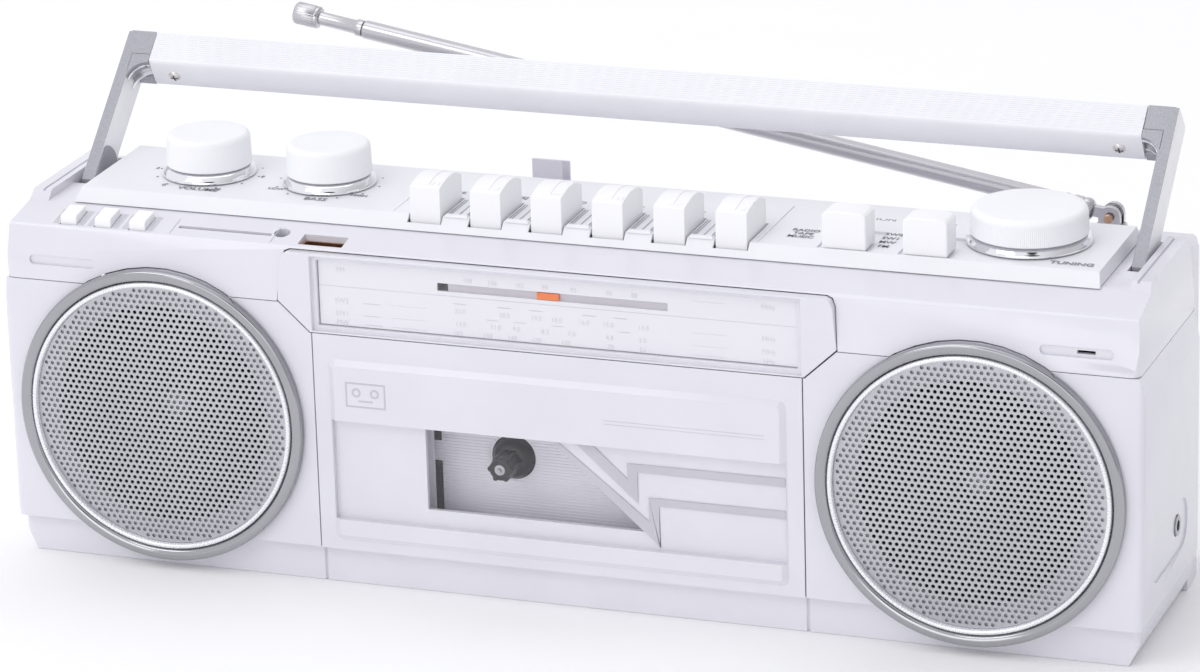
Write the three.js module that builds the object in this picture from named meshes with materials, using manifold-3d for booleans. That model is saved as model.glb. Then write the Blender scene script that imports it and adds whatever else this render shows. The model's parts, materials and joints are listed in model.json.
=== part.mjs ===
// A portable radio cassette recorder: cassette bay and tuning dial in the middle, a speaker
// at each side, keys and knobs on top, a carrying handle and a telescopic antenna.
// Millimetres. X is right, Y is back, Z is up. The origin is on the underside of the base.
import * as THREE from "three";
import { mergeVertices } from "three/addons/utils/BufferGeometryUtils.js";
import Module from "manifold-3d";

const wasm = await Module();
wasm.setup();

// ---- driving dimensions ------------------------------------------------------------------
const GAP = 0.3; // between two pieces that meet
const WALL = 2.4;

// cabinet
const FRONT = -52; // plane of the front face
const BACK = 52;
const SPLIT = 18; // front half ends here, rear shell begins
const HALF_WIDTH = 194;
const PLINTH_TOP = 12.5;
const SEAM = 97; // between lower and upper shell
const DECK = 118.6; // top deck, under the control panel
const RAIL_TOP = 121.3;
const PANEL_TOP = 123;

// speakers
const SPEAKER_X = 138.1;
const SPEAKER_Z = 53.7;
const RING_R = 50.4;
const GRILLE_R = 44.6;
const CONE_R = 37.5;

// cassette bay and dial
const DOOR_HALF = 83.3;
const DOOR_BOTTOM = 12.8;
const DOOR_TOP = 87;
const DIAL_TOP = 114;
const REEL_X = 21.25; // half the distance between the two cassette hubs
const REEL_Z = 44.3;
const CAPSTAN = [28.5, 71.5];
const WELL_FLOOR = -35;
const MOTOR = [-38, 34];

// controls on top
const KNOB_Y = -5;
const KEY_PITCH = 20.9;
const FIRST_KEY_X = -51.1;
const KEY_WIDTH = 10.6;
const KEY_FRONT = -30;
const KEY_AXLE = [12, 117.2];
const BUTTONS = ["mode_button", "previous_button", "next_button"];
const buttonX = (i) => -170.9 + 12.35 * i;

// handle
const PIVOT_Z = 118;
const HANDLE_LEAN = 42; // degrees above level, leaning back
const ARM_OUTER = 183;
const ARM_THICK = 4;
const ARM_LENGTH = 52.3;

// antenna
const ANTENNA_FOOT = [157.7, 46];
const ANTENNA_PIVOT_Z = 116.8;
const ANTENNA_RISE = 9.7; // degrees
const MAST_LENGTH = 263;

// colours
const WHITE = 0xeceaf2;
const PANEL_GREY = 0xe2e2e8;
const SILVER = 0xa9a8b1;
const CHROME = 0xd9dade;
const STEEL = 0xb9babd;
const BLACK = 0x1b1b1e;
const COPPER = 0xb98765;
const GREEN = 0x2f6b48;

// ---- solids ------------------------------------------------------------------------------
// A closed three.js geometry as a solid that can be joined and cut.
function solid(geometry) {
  geometry.deleteAttribute("normal");
  geometry.deleteAttribute("uv");
  const merged = mergeVertices(geometry, 1e-4);
  return new wasm.Manifold(
    new wasm.Mesh({
      numProp: 3,
      vertProperties: merged.attributes.position.array,
      triVerts: new Uint32Array(merged.index.array),
    }),
  );
}

const join = (...solids) => solids.reduce((a, b) => a.add(b));
const cut = (body, ...tools) => tools.reduce((a, b) => a.subtract(b), body);

// Turns geometry built along local Z so that it runs along the named axis.
const ALONG = {
  x: new THREE.Matrix4().set(0, 0, 1, 0, 1, 0, 0, 0, 0, 1, 0, 0, 0, 0, 0, 1),
  y: new THREE.Matrix4().set(1, 0, 0, 0, 0, 0, -1, 0, 0, 1, 0, 0, 0, 0, 0, 1),
  z: new THREE.Matrix4(),
};

// An outline drawn in the plane across `axis` and drawn out from `from` to `to` along it:
// the outline is (y, z) for x, (x, z) for y and (x, y) for z.
function prism(axis, outline, from, to, holes = []) {
  const points = (path) => path.map(([a, b]) => new THREE.Vector2(a, b));
  const shape = new THREE.Shape(points(outline));
  shape.holes = holes.map((hole) => new THREE.Path(points(hole)));
  const geometry = new THREE.ExtrudeGeometry(shape, { depth: to - from, bevelEnabled: false });
  geometry.applyMatrix4(ALONG[axis]);
  const start = axis === "y" ? to : from;
  geometry.translate(axis === "x" ? start : 0, axis === "y" ? start : 0, axis === "z" ? start : 0);
  return solid(geometry);
}

// A panel that stands `height` proud of a front face at y, with a slope of width `slope`.
function raisedPanel(outline, y, height, slope) {
  const shape = new THREE.Shape(outline.map(([a, b]) => new THREE.Vector2(a, b)));
  const geometry = new THREE.ExtrudeGeometry(shape, {
    depth: 0.01,
    bevelThickness: height,
    bevelSize: slope,
    bevelOffset: -slope,
    bevelSegments: 1,
  });
  return solid(geometry.applyMatrix4(ALONG.y).translate(0, y, 0));
}

function box(x0, x1, y0, y1, z0, z1) {
  const geometry = new THREE.BoxGeometry(x1 - x0, y1 - y0, z1 - z0);
  return solid(geometry.translate((x0 + x1) / 2, (y0 + y1) / 2, (z0 + z1) / 2));
}

// The same box at x and at -x.
const boxPair = (x0, x1, ...rest) => join(box(x0, x1, ...rest), box(-x1, -x0, ...rest));

function circle([a, b], radius, sides = 32) {
  return Array.from({ length: sides }, (_, i) => {
    const turn = (2 * Math.PI * (i + 0.5)) / sides;
    return [a + radius * Math.cos(turn), b + radius * Math.sin(turn)];
  });
}

function rod(axis, centre, radius, from, to, sides = 32) {
  return prism(axis, circle(centre, radius, sides), from, to);
}

// A rectangle with its corners rounded, given as [a0, a1], [b0, b1].
function roundedRect([a0, a1], [b0, b1], radius, steps = 5) {
  const points = [];
  const corners = [
    [a1 - radius, b0 + radius, -90],
    [a1 - radius, b1 - radius, 0],
    [a0 + radius, b1 - radius, 90],
    [a0 + radius, b0 + radius, 180],
  ];
  for (const [a, b, start] of corners) {
    for (let i = 0; i <= steps; i++) {
      const turn = THREE.MathUtils.degToRad(start + (90 * i) / steps);
      points.push([a + radius * Math.cos(turn), b + radius * Math.sin(turn)]);
    }
  }
  return points;
}

// A profile of (radius, height) turned about an axis through `centre`.
function turned(axis, centre, profile, sides = 36) {
  const area = profile.reduce((sum, [r, h], i) => {
    const [r2, h2] = profile[(i + 1) % profile.length];
    return sum + r * h2 - r2 * h;
  }, 0);
  const path = area > 0 ? profile : [...profile].reverse();
  const closed = path[0][0] === 0 ? path : [...path, path[0]];
  const geometry = new THREE.LatheGeometry(
    closed.map(([r, h]) => new THREE.Vector2(r, h)),
    sides,
  );
  const [a, b] = centre;
  if (axis === "z") geometry.rotateX(Math.PI / 2).translate(a, b, 0);
  if (axis === "y") geometry.translate(a, 0, b);
  if (axis === "x") geometry.rotateZ(-Math.PI / 2).translate(0, a, b);
  return solid(geometry);
}

// An outline mirrored to the other side, so that half of it describes the whole.
const mirrored = (half) => [...half, ...half.map(([a, b]) => [-a, b]).reverse()];

// ---- the part ----------------------------------------------------------------------------
const part = new THREE.Group();

function piece(name, body, colour, roughness = 0.4, metalness = 0, parent = part) {
  const { vertProperties, triVerts } = body.getMesh();
  const geometry = new THREE.BufferGeometry();
  geometry.setAttribute("position", new THREE.BufferAttribute(vertProperties, 3));
  geometry.setIndex(new THREE.BufferAttribute(triVerts, 1));
  const material = new THREE.MeshStandardMaterial({ color: colour, roughness, metalness });
  const mesh = new THREE.Mesh(geometry, material);
  mesh.name = name;
  parent.add(mesh);
}

// ---- cabinet shells ----------------------------------------------------------------------
// Seen from above: a front half with rounded front corners.
const frontPlan = (halfWidth, front, back, radius = 3) =>
  prism("z", roundedRect([-halfWidth, halfWidth], [front, back + radius], radius, 3), -1, 130);

// Front view of the dial block, grown by `by` all round.
function dialOutline(by) {
  return mirrored([
    [84 + by, DOOR_TOP + GAP - by],
    [95 + by, SEAM + 0.4 - by],
    [93.8 + by, DIAL_TOP - 3],
    [92.8 + by, DIAL_TOP - 0.8 + by],
    [91 + by, DIAL_TOP + by],
  ]);
}

// The base: a shallow tray that narrows towards the table, scored below the ends of the door.
{
  const outer = prism(
    "y",
    mirrored([
      [188.5, 0],
      [192.2, 7.4],
      [192.2, PLINTH_TOP],
    ]),
    FRONT + 3,
    SPLIT - GAP,
  ).intersect(frontPlan(193, FRONT + 3, SPLIT));
  const inside = box(-186, 186, FRONT + 3 + WALL, SPLIT - WALL, WALL, PLINTH_TOP + 1);
  const scores = boxPair(DOOR_HALF - 0.4, DOOR_HALF + 0.4, FRONT, FRONT + 3.8, -1, PLINTH_TOP + 1);
  piece("base_plinth", cut(outer, inside, scores), WHITE, 0.3);
}

// The lower shell: front wall and side walls, with a round seat for each speaker ring.
{
  const outerSides = mirrored([
    [193.2, PLINTH_TOP + GAP],
    [193.9, 16],
    [HALF_WIDTH, 87.6],
    [192.4, SEAM - GAP],
  ]);
  const innerSides = mirrored([
    [193.2 - WALL, PLINTH_TOP - 1],
    [HALF_WIDTH - WALL, 87],
    [192.4 - WALL, SEAM + 1],
  ]);
  let shell = prism("y", outerSides, FRONT, SPLIT).intersect(frontPlan(HALF_WIDTH, FRONT, SPLIT));
  shell = cut(shell, prism("y", innerSides, FRONT + WALL, SPLIT + 1));
  for (const x of [-SPEAKER_X, SPEAKER_X]) {
    shell = join(shell, rod("y", [x, SPEAKER_Z], RING_R - 0.3, FRONT, FRONT + WALL, 44));
    shell = cut(shell, rod("y", [x, SPEAKER_Z], CONE_R, FRONT - 1, FRONT + WALL + 1, 28));
  }
  const bay = box(-DOOR_HALF - 0.4, DOOR_HALF + 0.4, FRONT - 1, FRONT + WALL + 1, 0, DOOR_TOP + 1);
  const dial = prism("y", dialOutline(GAP), FRONT - 1, FRONT + WALL + 1);
  const upperBar = box(-98, 98, FRONT + 8, FRONT + 12, 92, SEAM - GAP);
  const upperWebs = boxPair(96, 99, FRONT + 2, FRONT + 12, 92, SEAM - GAP);
  const jackOutline = roundedRect([FRONT + 11, 4], [23.5, 40], 7);
  const jackRecess = prism("x", jackOutline, HALF_WIDTH - 0.7, HALF_WIDTH + 1);
  const jackHole = rod("x", [-7.5, 32.6], 3.6, HALF_WIDTH - 4, HALF_WIDTH + 1);
  shell = join(cut(shell, bay, dial), upperBar, upperWebs);
  piece("lower_shell", cut(shell, jackRecess, jackHole), WHITE, 0.3);
}

// The upper shell: a front face that leans back, a sloping shelf, a deck and two side rails.
const shelfHeight = (y) => 115 + ((y + 48.2) * (118.1 - 115)) / (48.2 - 33.7);
{
  const body = prism(
    "x",
    [
      [FRONT, SEAM],
      [SPLIT + 0.7, SEAM],
      [SPLIT - 2.2, DECK],
      [-31, DECK],
      [-33.7, 118.1],
      [-48.2, 115],
      [-48.9, 114.2],
    ],
    -192.4,
    192.4,
  );
  const rails = prism(
    "x",
    [
      [-33.7, 118],
      [-30, 113],
      [SPLIT - 2.2, 113],
      [SPLIT - 2.5, RAIL_TOP],
      [-30.5, RAIL_TOP],
    ],
    -192,
    192,
  ).intersect(boxPair(184.2, 193, -60, 30, 100, 130));
  const sides = mirrored([
    [192.4, SEAM],
    [191.4, 114.8],
    [190.6, RAIL_TOP],
  ]);
  const inside = prism(
    "x",
    [
      [FRONT + WALL, SEAM - 1],
      [SPLIT + 3, SEAM - 1],
      [SPLIT + 3, DECK - WALL],
      [-31, DECK - WALL],
      [-33.4, 115.6],
      [-46.6, 112.6],
    ],
    -192.4 + WALL,
    192.4 - WALL,
  );
  let shell = join(body, rails.subtract(boxPair(186.2, 187.1, -60, 30, RAIL_TOP - 0.7, 130)));
  shell = shell.intersect(prism("y", sides, -60, 30)).intersect(frontPlan(192.4, FRONT, SPLIT));
  shell = cut(shell, inside);
  // Bosses that carry the handle pins, joined after hollowing.
  shell = join(shell, boxPair(184.2, 190.4, -8, 12, 108, DECK));
  const panelOpening = box(-170, 170, -30.8, 13.2, 110, 125);
  const keyHinge = box(-64, 66, 10, 30, 110, 125);
  const armSlots = boxPair(178.4, 184.2, -14, 30, 104, 125);
  const pinHoles = join(...[-188, 183].map((x) => rod("x", [0, PIVOT_Z], 2.1, x, x + 5, 20)));
  const dial = prism("y", dialOutline(GAP), FRONT - 1, FRONT + 8);
  shell = cut(shell, panelOpening, keyHinge, armSlots, pinHoles, dial);
  for (const x of [-SPEAKER_X, SPEAKER_X]) {
    shell = cut(shell, rod("y", [x, SPEAKER_Z], RING_R + 0.2, FRONT - 1, FRONT + WALL + 1.5, 44));
  }
  const grooves = [-184, 160.3].map((x) =>
    prism("y", roundedRect([x, x + 23.7], [101.8, 105], 1.5, 3), FRONT - 1, FRONT + 1.9),
  );
  const microphone = box(172.1, 178, FRONT - 1, FRONT + 5, 102.8, 104);
  const buttonXs = BUTTONS.map((_, i) => buttonX(i));
  const buttonHoles = buttonXs.map((x) => box(x - 3.2, x + 3.2, -47.4, -38.1, 108, 125));
  const cardSlot = box(-133, -100, -43.4, -41.8, 108, 125);
  const usbHole = box(-89.2, -73.8, -46.9, -40.5, 108, 125);
  const lampHole = rod("z", [-97, -41], 2.7, 108, 125, 20);
  shell = cut(shell, ...grooves, microphone, ...buttonHoles, cardSlot, usbHole, lampHole);
  piece("upper_shell", shell, WHITE, 0.3);
}

// The rear shell, with a battery compartment, a mains inlet and a spring clip for the antenna.
const BATTERY = { half: 53.5, bottom: 13.5, top: 70.5, floor: 24 };
{
  const rearPlan = (inset) =>
    prism(
      "z",
      mirrored([
        [190.5 - inset, 5],
        [190.5 - inset, 22],
        [189.6 - inset, 34],
        [186 - inset, 46],
        [182 - inset, BACK - inset],
      ]),
      0,
      130,
    );
  const outer = prism(
    "x",
    [
      [SPLIT + GAP, 0],
      [47, 0],
      [BACK, 6],
      [BACK, 105],
      [49, 111.5],
      [40, 111.5],
      [SPLIT - 1.8, 118],
      [SPLIT + 1, SEAM],
      [SPLIT + GAP, SEAM - 1],
    ],
    -192,
    192,
  ).intersect(rearPlan(0));
  const inside = prism(
    "x",
    [
      [SPLIT - 8, WALL],
      [46, WALL],
      [BACK - WALL, 7],
      [BACK - WALL, 104.5],
      [48, 109.1],
      [39.6, 109.1],
      [SPLIT - 8, 117.8],
    ],
    -192,
    192,
  ).intersect(rearPlan(WALL));
  const { half, bottom, top, floor } = BATTERY;
  const compartment = box(-half - 2.2, half + 2.2, floor - 2.2, BACK - 1, bottom - 2.2, top + 2.2);
  const hollow = box(-half, half, floor, BACK + 1, bottom, top);
  const inletHole = box(119.7, 140.3, 40, BACK + 1, 16.2, 31.8);
  const armSlots = boxPair(178.4, 184.2, 10, 30, 104, 125);
  const swivelSeat = rod("z", ANTENNA_FOOT, 3.2, 105, 115, 24);
  const clip = join(box(-41, -30.7, 41.4, 42.5, 110.5, 121.6), box(-41, -30.7, 49.5, 50.4, 107, 119));
  const shell = join(cut(outer, inside), compartment, clip);
  piece("rear_shell", cut(shell, hollow, inletHole, armSlots, swivelSeat), WHITE, 0.35);
  const cover = box(-half + GAP, half - GAP, BACK - 2.4, BACK + 0.2, bottom + GAP, top - GAP);
  const grooveTops = [0, 1, 2, 3].map((i) => top - 7 - 2.4 * i);
  const thumbGrooves = grooveTops.map((z) => box(-12, 12, BACK - 0.5, BACK + 1, z - 1, z));
  piece("battery_cover", cut(cover, ...thumbGrooves), WHITE, 0.35);
  const inlet = cut(box(120, 140, 32, BACK + 0.4, 16.5, 31.5), box(123, 137, 38, BACK + 1, 19.5, 28.5));
  const contacts = [-4.3, 4.3].map((x) => rod("y", [130 + x, 24], 1.2, 37, BACK - 4, 12));
  piece("ac_inlet", join(inlet, ...contacts), BLACK, 0.5);
}

// ---- control panel -----------------------------------------------------------------------
const KNOBS = {
  volume: { x: -138, radius: 14.2, bezel: 15.6, top: 137.4, skirt: 126.4 },
  bass: { x: -94.8, radius: 14.2, bezel: 15.6, top: 137.2, skirt: 126.4 },
  tuning: { x: 144.4, radius: 18.9, bezel: 20.2, top: 134.8, skirt: 125.9 },
};
const SWITCHES = { function_switch: 90.1, band_switch: 116.8 };
const KEYS = ["pause_key", "stop_key", "forward_key", "rewind_key", "play_key", "record_key"];
const keyX = (i) => FIRST_KEY_X + KEY_PITCH * i;
{
  const outer = prism(
    "x",
    [
      [-33.6, 118.1 + GAP],
      [-31, DECK + GAP],
      [SPLIT - 1, DECK + GAP],
      [SPLIT - 1, PANEL_TOP + 0.2],
      [-29.2, PANEL_TOP - 0.2],
    ],
    -176,
    176,
  ).intersect(
    prism(
      "y",
      mirrored([
        [174.8, DECK],
        [173.3, PANEL_TOP + 1],
      ]),
      -60,
      30,
    ),
  );
  const inside = box(-170.8, 170.8, -30, SPLIT - 3, DECK - 1, PANEL_TOP - 2.2);
  const shafts = Object.values(KNOBS).map(({ x }) => rod("z", [x, KNOB_Y], 3.4, 100, 130, 24));
  const keyXs = KEYS.map((_, i) => keyX(i));
  const keySlots = keyXs.map((x) => box(x - 5.9, x + 5.9, KEY_FRONT - 1.4, -9.6, 100, 130));
  const switchSlots = Object.values(SWITCHES).flatMap((x) => [
    box(x - 8.9, x + 8.9, -28.6, -8.6, PANEL_TOP - 0.9, 130),
    box(x - 3, x + 3, -25.5, -11, 100, 130),
  ]);
  const scores = [
    box(-63.2, -62.7, -28, -12, PANEL_TOP - 0.4, 130),
    box(61.5, 62, -28, 9.5, PANEL_TOP - 0.4, 130),
  ];
  const plate = cut(outer, inside, ...shafts, ...keySlots, ...switchSlots, ...scores);
  // Two lugs under the panel hold the key axle.
  const [axleY, axleZ] = KEY_AXLE;
  const lugEnds = [keyX(0) - 11, keyX(5) + 7.5];
  const lugs = lugEnds.map((x) => box(x, x + 3.5, 10.4, SPLIT - 2.9, 114.2, PANEL_TOP - 2));
  const bore = rod("x", [axleY, axleZ], 1.8, keyX(0) - 12, keyX(5) + 12, 20);
  piece("control_panel", cut(join(plate, ...lugs), bore), PANEL_GREY, 0.45);
}

// Knobs turn on upright shafts; each stands in a bright ring fixed to the panel.
for (const [name, { x, radius, bezel, top, skirt }] of Object.entries(KNOBS)) {
  const cap = turned("z", [x, KNOB_Y], [
    [0, skirt],
    [radius - 0.2, skirt],
    [radius, skirt + 0.5],
    [radius - 0.25, top - 1.4],
    [radius - 0.9, top - 0.3],
    [radius - 1.9, top],
    [0, top],
  ]);
  const drum = name === "tuning" ? rod("z", [x, KNOB_Y], 12, 108, 112.5, 40) : null;
  const shaft = rod("z", [x, KNOB_Y], 3, drum ? 104.5 : 112, skirt + 0.5, 20);
  piece(`${name}_knob`, drum ? join(cap, shaft, drum) : join(cap, shaft), WHITE, 0.35);
  const ring = turned("z", [x, KNOB_Y], [
    [3.6, PANEL_TOP + 0.4],
    [bezel, PANEL_TOP + 0.4],
    [bezel, PANEL_TOP + 1.2],
    [bezel - 0.9, skirt - 0.6],
    [bezel - 2.4, skirt - GAP],
    [3.6, skirt - GAP],
  ]);
  piece(`${name}_bezel`, ring, CHROME, 0.12, 1);
}

// The piano keys hang on one axle at the back of the panel and tip down at the front.
{
  const [axleY, axleZ] = KEY_AXLE;
  const cap = [
    [KEY_FRONT - 0.3, 117.6],
    [KEY_FRONT + 0.2, 132.3],
    [-27, 133.1],
    [-22, 134],
    [-17, 133.9],
    [-13, 132.8],
    [-10.3, 131.4],
    [-10.3, 117.6],
  ];
  KEYS.forEach((name, i) => {
    const x = keyX(i);
    const body = prism("x", cap, x - KEY_WIDTH / 2, x + KEY_WIDTH / 2);
    const lever = box(x - 3, x + 3, KEY_FRONT + 3, axleY, axleZ - 2, axleZ + 2);
    const hub = rod("x", [axleY, axleZ], 3.1, x - 4, x + 4, 20);
    const bore = rod("x", [axleY, axleZ], 1.6, x - 5, x + 5, 20);
    piece(name, cut(join(body, lever, hub), bore), WHITE, 0.3);
  });
  piece("key_axle", rod("x", KEY_AXLE, 1.5, keyX(0) - 10.6, keyX(5) + 10.6, 20), STEEL, 0.3, 1);
}

// Slide switches: an arched cap with a stem through the panel.
for (const [name, x] of Object.entries(SWITCHES)) {
  const arch = mirrored([
    [7.3, 122.6],
    [7.3, 133.4],
    [6.6, 134.3],
    [4, 134.9],
  ]).map(([a, b]) => [a + x, b]);
  const stem = box(x - 2.4, x + 2.4, -24.5, -19.5, 113, 124);
  piece(name, join(prism("y", arch, -28, -17.6), stem), WHITE, 0.3);
}

// Three small push buttons on the sloping shelf.
BUTTONS.forEach((name, i) => {
  const x = buttonX(i);
  const profile = [
    [-46.8, 110],
    [-46.8, shelfHeight(-46.8) + 2.4],
    [-45.8, shelfHeight(-45.8) + 2.9],
    [-38.6, shelfHeight(-38.6) + 2.4],
    [-38.6, 110],
  ];
  piece(name, prism("x", profile, x - 2.9, x + 2.9), WHITE, 0.3);
});

piece(
  "usb_port",
  cut(box(-88.9, -74.1, -46.6, -40.8, 104, 114.6), box(-88.1, -74.9, -46, -41.4, 106, 115.5)),
  COPPER,
  0.3,
  1,
);
piece(
  "status_lamp",
  turned("z", [-97, -41], [
    [0, 110],
    [2.4, 110],
    [2.4, 117.2],
    [1.6, 118.3],
    [0, 118.7],
  ], 20),
  WHITE,
  0.2,
);

// ---- dial --------------------------------------------------------------------------------
{
  const frame = prism("y", dialOutline(0), FRONT - 0.2, FRONT + 3.6);
  const lensSeat = box(-83.2, 83.2, FRONT - 1, FRONT + 1.4, 87.9, 113.1);
  const window = box(-81.5, 81.5, FRONT - 1, FRONT + 9, 89.4, 111.6);
  piece("dial_frame", cut(frame, lensSeat, window), WHITE, 0.3);
  piece("dial_lens", box(-82.9, 82.9, FRONT - 0.1, FRONT + 1.1, 88.2, 112.8), 0xf3f3f8, 0.05);
  const plate = box(-81.2, 81.2, FRONT + 2.6, FRONT + 3.6, 89.7, 111.3);
  piece("dial_plate", cut(plate, box(-40, 38.3, FRONT, FRONT + 8, 104.4, 107.1)), WHITE, 0.4);
  const pointer = join(
    box(-5.8, 1.6, FRONT + 2.4, FRONT + 4.5, 104.7, 106.8),
    box(-8, 4, FRONT + 3.9, FRONT + 5.1, 101, 110),
  );
  piece("dial_pointer", pointer, 0xe87722, 0.4);
}

// ---- speakers ----------------------------------------------------------------------------
for (const [side, x] of Object.entries({ left: -SPEAKER_X, right: SPEAKER_X })) {
  const centre = [x, SPEAKER_Z];
  const ring = [
    [GRILLE_R + 0.3, FRONT - GAP],
    [RING_R, FRONT - GAP],
    [RING_R, FRONT - 2.4],
    [RING_R - 0.7, FRONT - 3.1],
    [RING_R - 1.6, FRONT - 3.2],
    [46.6, FRONT - 2.2],
    [GRILLE_R + 0.3, FRONT - 1.7],
  ];
  piece(`speaker_ring_${side}`, turned("y", centre, ring, 44), CHROME, 0.1, 1);
  const grille = [
    [0, FRONT - 2.2],
    [20, FRONT - 2],
    [36, FRONT - 1.5],
    [GRILLE_R, FRONT - 1.1],
    [GRILLE_R, FRONT - 0.4],
    [36, FRONT - 0.8],
    [0, FRONT - 1.4],
  ];
  piece(`speaker_grille_${side}`, turned("y", centre, grille), SILVER, 0.35, 1);
  const driver = [
    [0, FRONT + 10],
    [9, FRONT + 12],
    [12, FRONT + 14.5],
    [34, FRONT + 3.4],
    [36.5, FRONT + 2.7],
    [40.2, FRONT + 2.7],
    [40.2, FRONT + 5],
    [36, FRONT + 6],
    [24, FRONT + 21],
    [27, FRONT + 21],
    [27, FRONT + 35],
    [0, FRONT + 35],
  ];
  piece(`speaker_driver_${side}`, turned("y", centre, driver, 24), BLACK, 0.7);
}

// ---- cassette bay ------------------------------------------------------------------------
// The door tips forward on its lower edge and carries the cassette in two side guides.
{
  const slab = box(-DOOR_HALF, DOOR_HALF, FRONT, FRONT + 3, DOOR_BOTTOM, DOOR_TOP);
  const raised = raisedPanel(roundedRect([-78, 78], [16.2, 78.8], 2.4, 2), FRONT, 1.3, 2);
  const lensSeat = box(-77.6, 77.6, FRONT - 2, FRONT + 1.5, 23.7, 58);
  const opening = prism(
    "y",
    [
      [-45.7, 29.2],
      [29.1, 29.2],
      [-2.6, 57.6],
      [-45.7, 57.6],
    ],
    FRONT - 2,
    FRONT + 4,
  );
  const guides = boxPair(51.4, 53.4, FRONT + 2.5, FRONT + 13.5, 14, 74);
  const lips = boxPair(47.5, 52, FRONT + 12.2, FRONT + 13.5, 14, 74);
  const shelf = box(-53.4, 53.4, FRONT + 2.5, FRONT + 13.5, 13.3, 14.9);
  const body = cut(join(slab, raised, guides, lips, shelf), lensSeat, opening);
  piece("cassette_door", body, WHITE, 0.3);
  piece("door_lens", box(-77.3, 77.3, FRONT - 0.7, FRONT + 1.2, 24, 57.7), 0xf3f3f8, 0.05);
}

// The well behind the door: a tray with openings for hubs, capstan and head.
{
  const tray = join(
    box(-88, 88, FRONT + 3.9, FRONT + 5.4, PLINTH_TOP + 0.4, 91.4),
    box(-60, 60, FRONT + 3.9, WELL_FLOOR + 2, PLINTH_TOP + 0.4, 91.4),
    box(-60, 60, FRONT + 5.8, WELL_FLOOR + 2, 10, 20),
  );
  const inside = box(-57.6, 57.6, FRONT, WELL_FLOOR, 12.2, 89);
  const hubs = [-REEL_X, REEL_X].map((x) => rod("y", [x, REEL_Z], 7.6, FRONT, 0, 32));
  const capstanHole = rod("y", CAPSTAN, 2.4, FRONT, 0, 20);
  const headSlot = box(-4, 4, FRONT, 0, 73.6, 84);
  piece("cassette_well", cut(tray, inside, ...hubs, capstanHole, headSlot), PANEL_GREY, 0.5);
}

const CHASSIS = -27; // rear face of the mechanism plate
{
  const plate = box(-64, 60, CHASSIS - 1.6, CHASSIS, 15, 90);
  const posts = [
    [-58, 20],
    [-58, 52],
    [-20, 20],
  ].map(([x, z]) => rod("y", [x, z], 2.2, CHASSIS - 1, -17, 10));
  const motorPlate = box(-60.4, -15, -17.5, -16, 16, 56);
  const feet = [
    [-62, 86],
    [-62, 18],
    [58, 18],
    [58, 86],
  ].map(([x, z]) => box(x - 1.8, x + 1.8, WELL_FLOOR + 2.3, CHASSIS - 1, z - 3, z + 3));
  const bores = [-REEL_X, REEL_X].map((x) => rod("y", [x, REEL_Z], 2.1, -40, 0, 12));
  const capstanBore = rod("y", CAPSTAN, 1.6, -40, 0, 12);
  const motorBore = rod("y", MOTOR, 4.2, -20, 0, 16);
  const headSlot = box(-2.6, 2.6, -40, 0, 73.6, 86);
  const body = join(plate, ...posts, motorPlate, ...feet);
  piece("tape_chassis", cut(body, ...bores, capstanBore, motorBore, headSlot), STEEL, 0.4, 1);
}

// Reel spindles: a six-lobed cap in front, a reel table and a shaft behind.
function lobes([a, b], radius, count = 6, sides = 24) {
  return Array.from({ length: sides }, (_, i) => {
    const turn = (2 * Math.PI * i) / sides;
    const r = radius * (0.86 + 0.14 * Math.cos(count * turn));
    return [a + r * Math.cos(turn), b + r * Math.sin(turn)];
  });
}
for (const [name, x] of Object.entries({ supply_spindle: -REEL_X, takeup_spindle: REEL_X })) {
  const at = [x, REEL_Z];
  const turnedPart = turned("y", at, [
    [0, -48.7],
    [1.9, -48.7],
    [2.4, -48],
    [2.4, -37.2],
    [6.8, -36.6],
    [6.8, -32.6],
    [14.5, -32.6],
    [14.5, -29.4],
    [2, -29.4],
    [2, -25],
    [0, -25],
  ], 20);
  piece(name, join(turnedPart, prism("y", lobes(at, 4.6), -47.4, -37)), BLACK, 0.45);
}

// Capstan with its flywheel, driven by the motor through a flat belt.
const FLYWHEEL_R = 21;
const PULLEY_R = 4;
const BELT_Y = [-23.8, -20.6];
{
  const flywheel = turned("y", CAPSTAN, [
    [0, -46],
    [1.25, -46],
    [1.25, -25.2],
    [FLYWHEEL_R, -25.2],
    [FLYWHEEL_R, -19.4],
    [0, -19.4],
  ]);
  piece("capstan_flywheel", flywheel, STEEL, 0.3, 1);
  const motor = turned("y", MOTOR, [
    [0, -15.6],
    [15.5, -15.6],
    [16, -14.8],
    [16, 5],
    [15, 6],
    [0, 6],
  ]);
  piece("drive_motor", motor, STEEL, 0.35, 1);
  const pulley = turned("y", MOTOR, [
    [0, -24.6],
    [PULLEY_R, -24.6],
    [PULLEY_R, -19.6],
    [1.4, -19.6],
    [1.4, -16.1],
    [0, -16.1],
  ], 24);
  piece("motor_pulley", pulley, COPPER, 0.3, 1);
  // The belt follows the outer tangents of pulley and flywheel.
  const dx = CAPSTAN[0] - MOTOR[0];
  const dz = CAPSTAN[1] - MOTOR[1];
  const heading = Math.atan2(dz, dx);
  const spread = Math.acos((FLYWHEEL_R - PULLEY_R) / Math.hypot(dx, dz));
  const loop = (extra) => {
    const arc = ([x, z], radius, start, end, steps) =>
      Array.from({ length: steps + 1 }, (_, i) => {
        const turn = start + ((end - start) * i) / steps;
        return [x + radius * Math.cos(turn), z + radius * Math.sin(turn)];
      });
    const wrap = Math.PI - spread;
    return [
      ...arc(CAPSTAN, FLYWHEEL_R + extra, heading - wrap, heading + wrap, 28),
      ...arc(MOTOR, PULLEY_R + extra, heading + wrap, heading + Math.PI + spread, 8),
    ];
  };
  piece("drive_belt", prism("y", loop(0.9), BELT_Y[0], BELT_Y[1], [loop(0.2)]), BLACK, 0.8);
}

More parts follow.
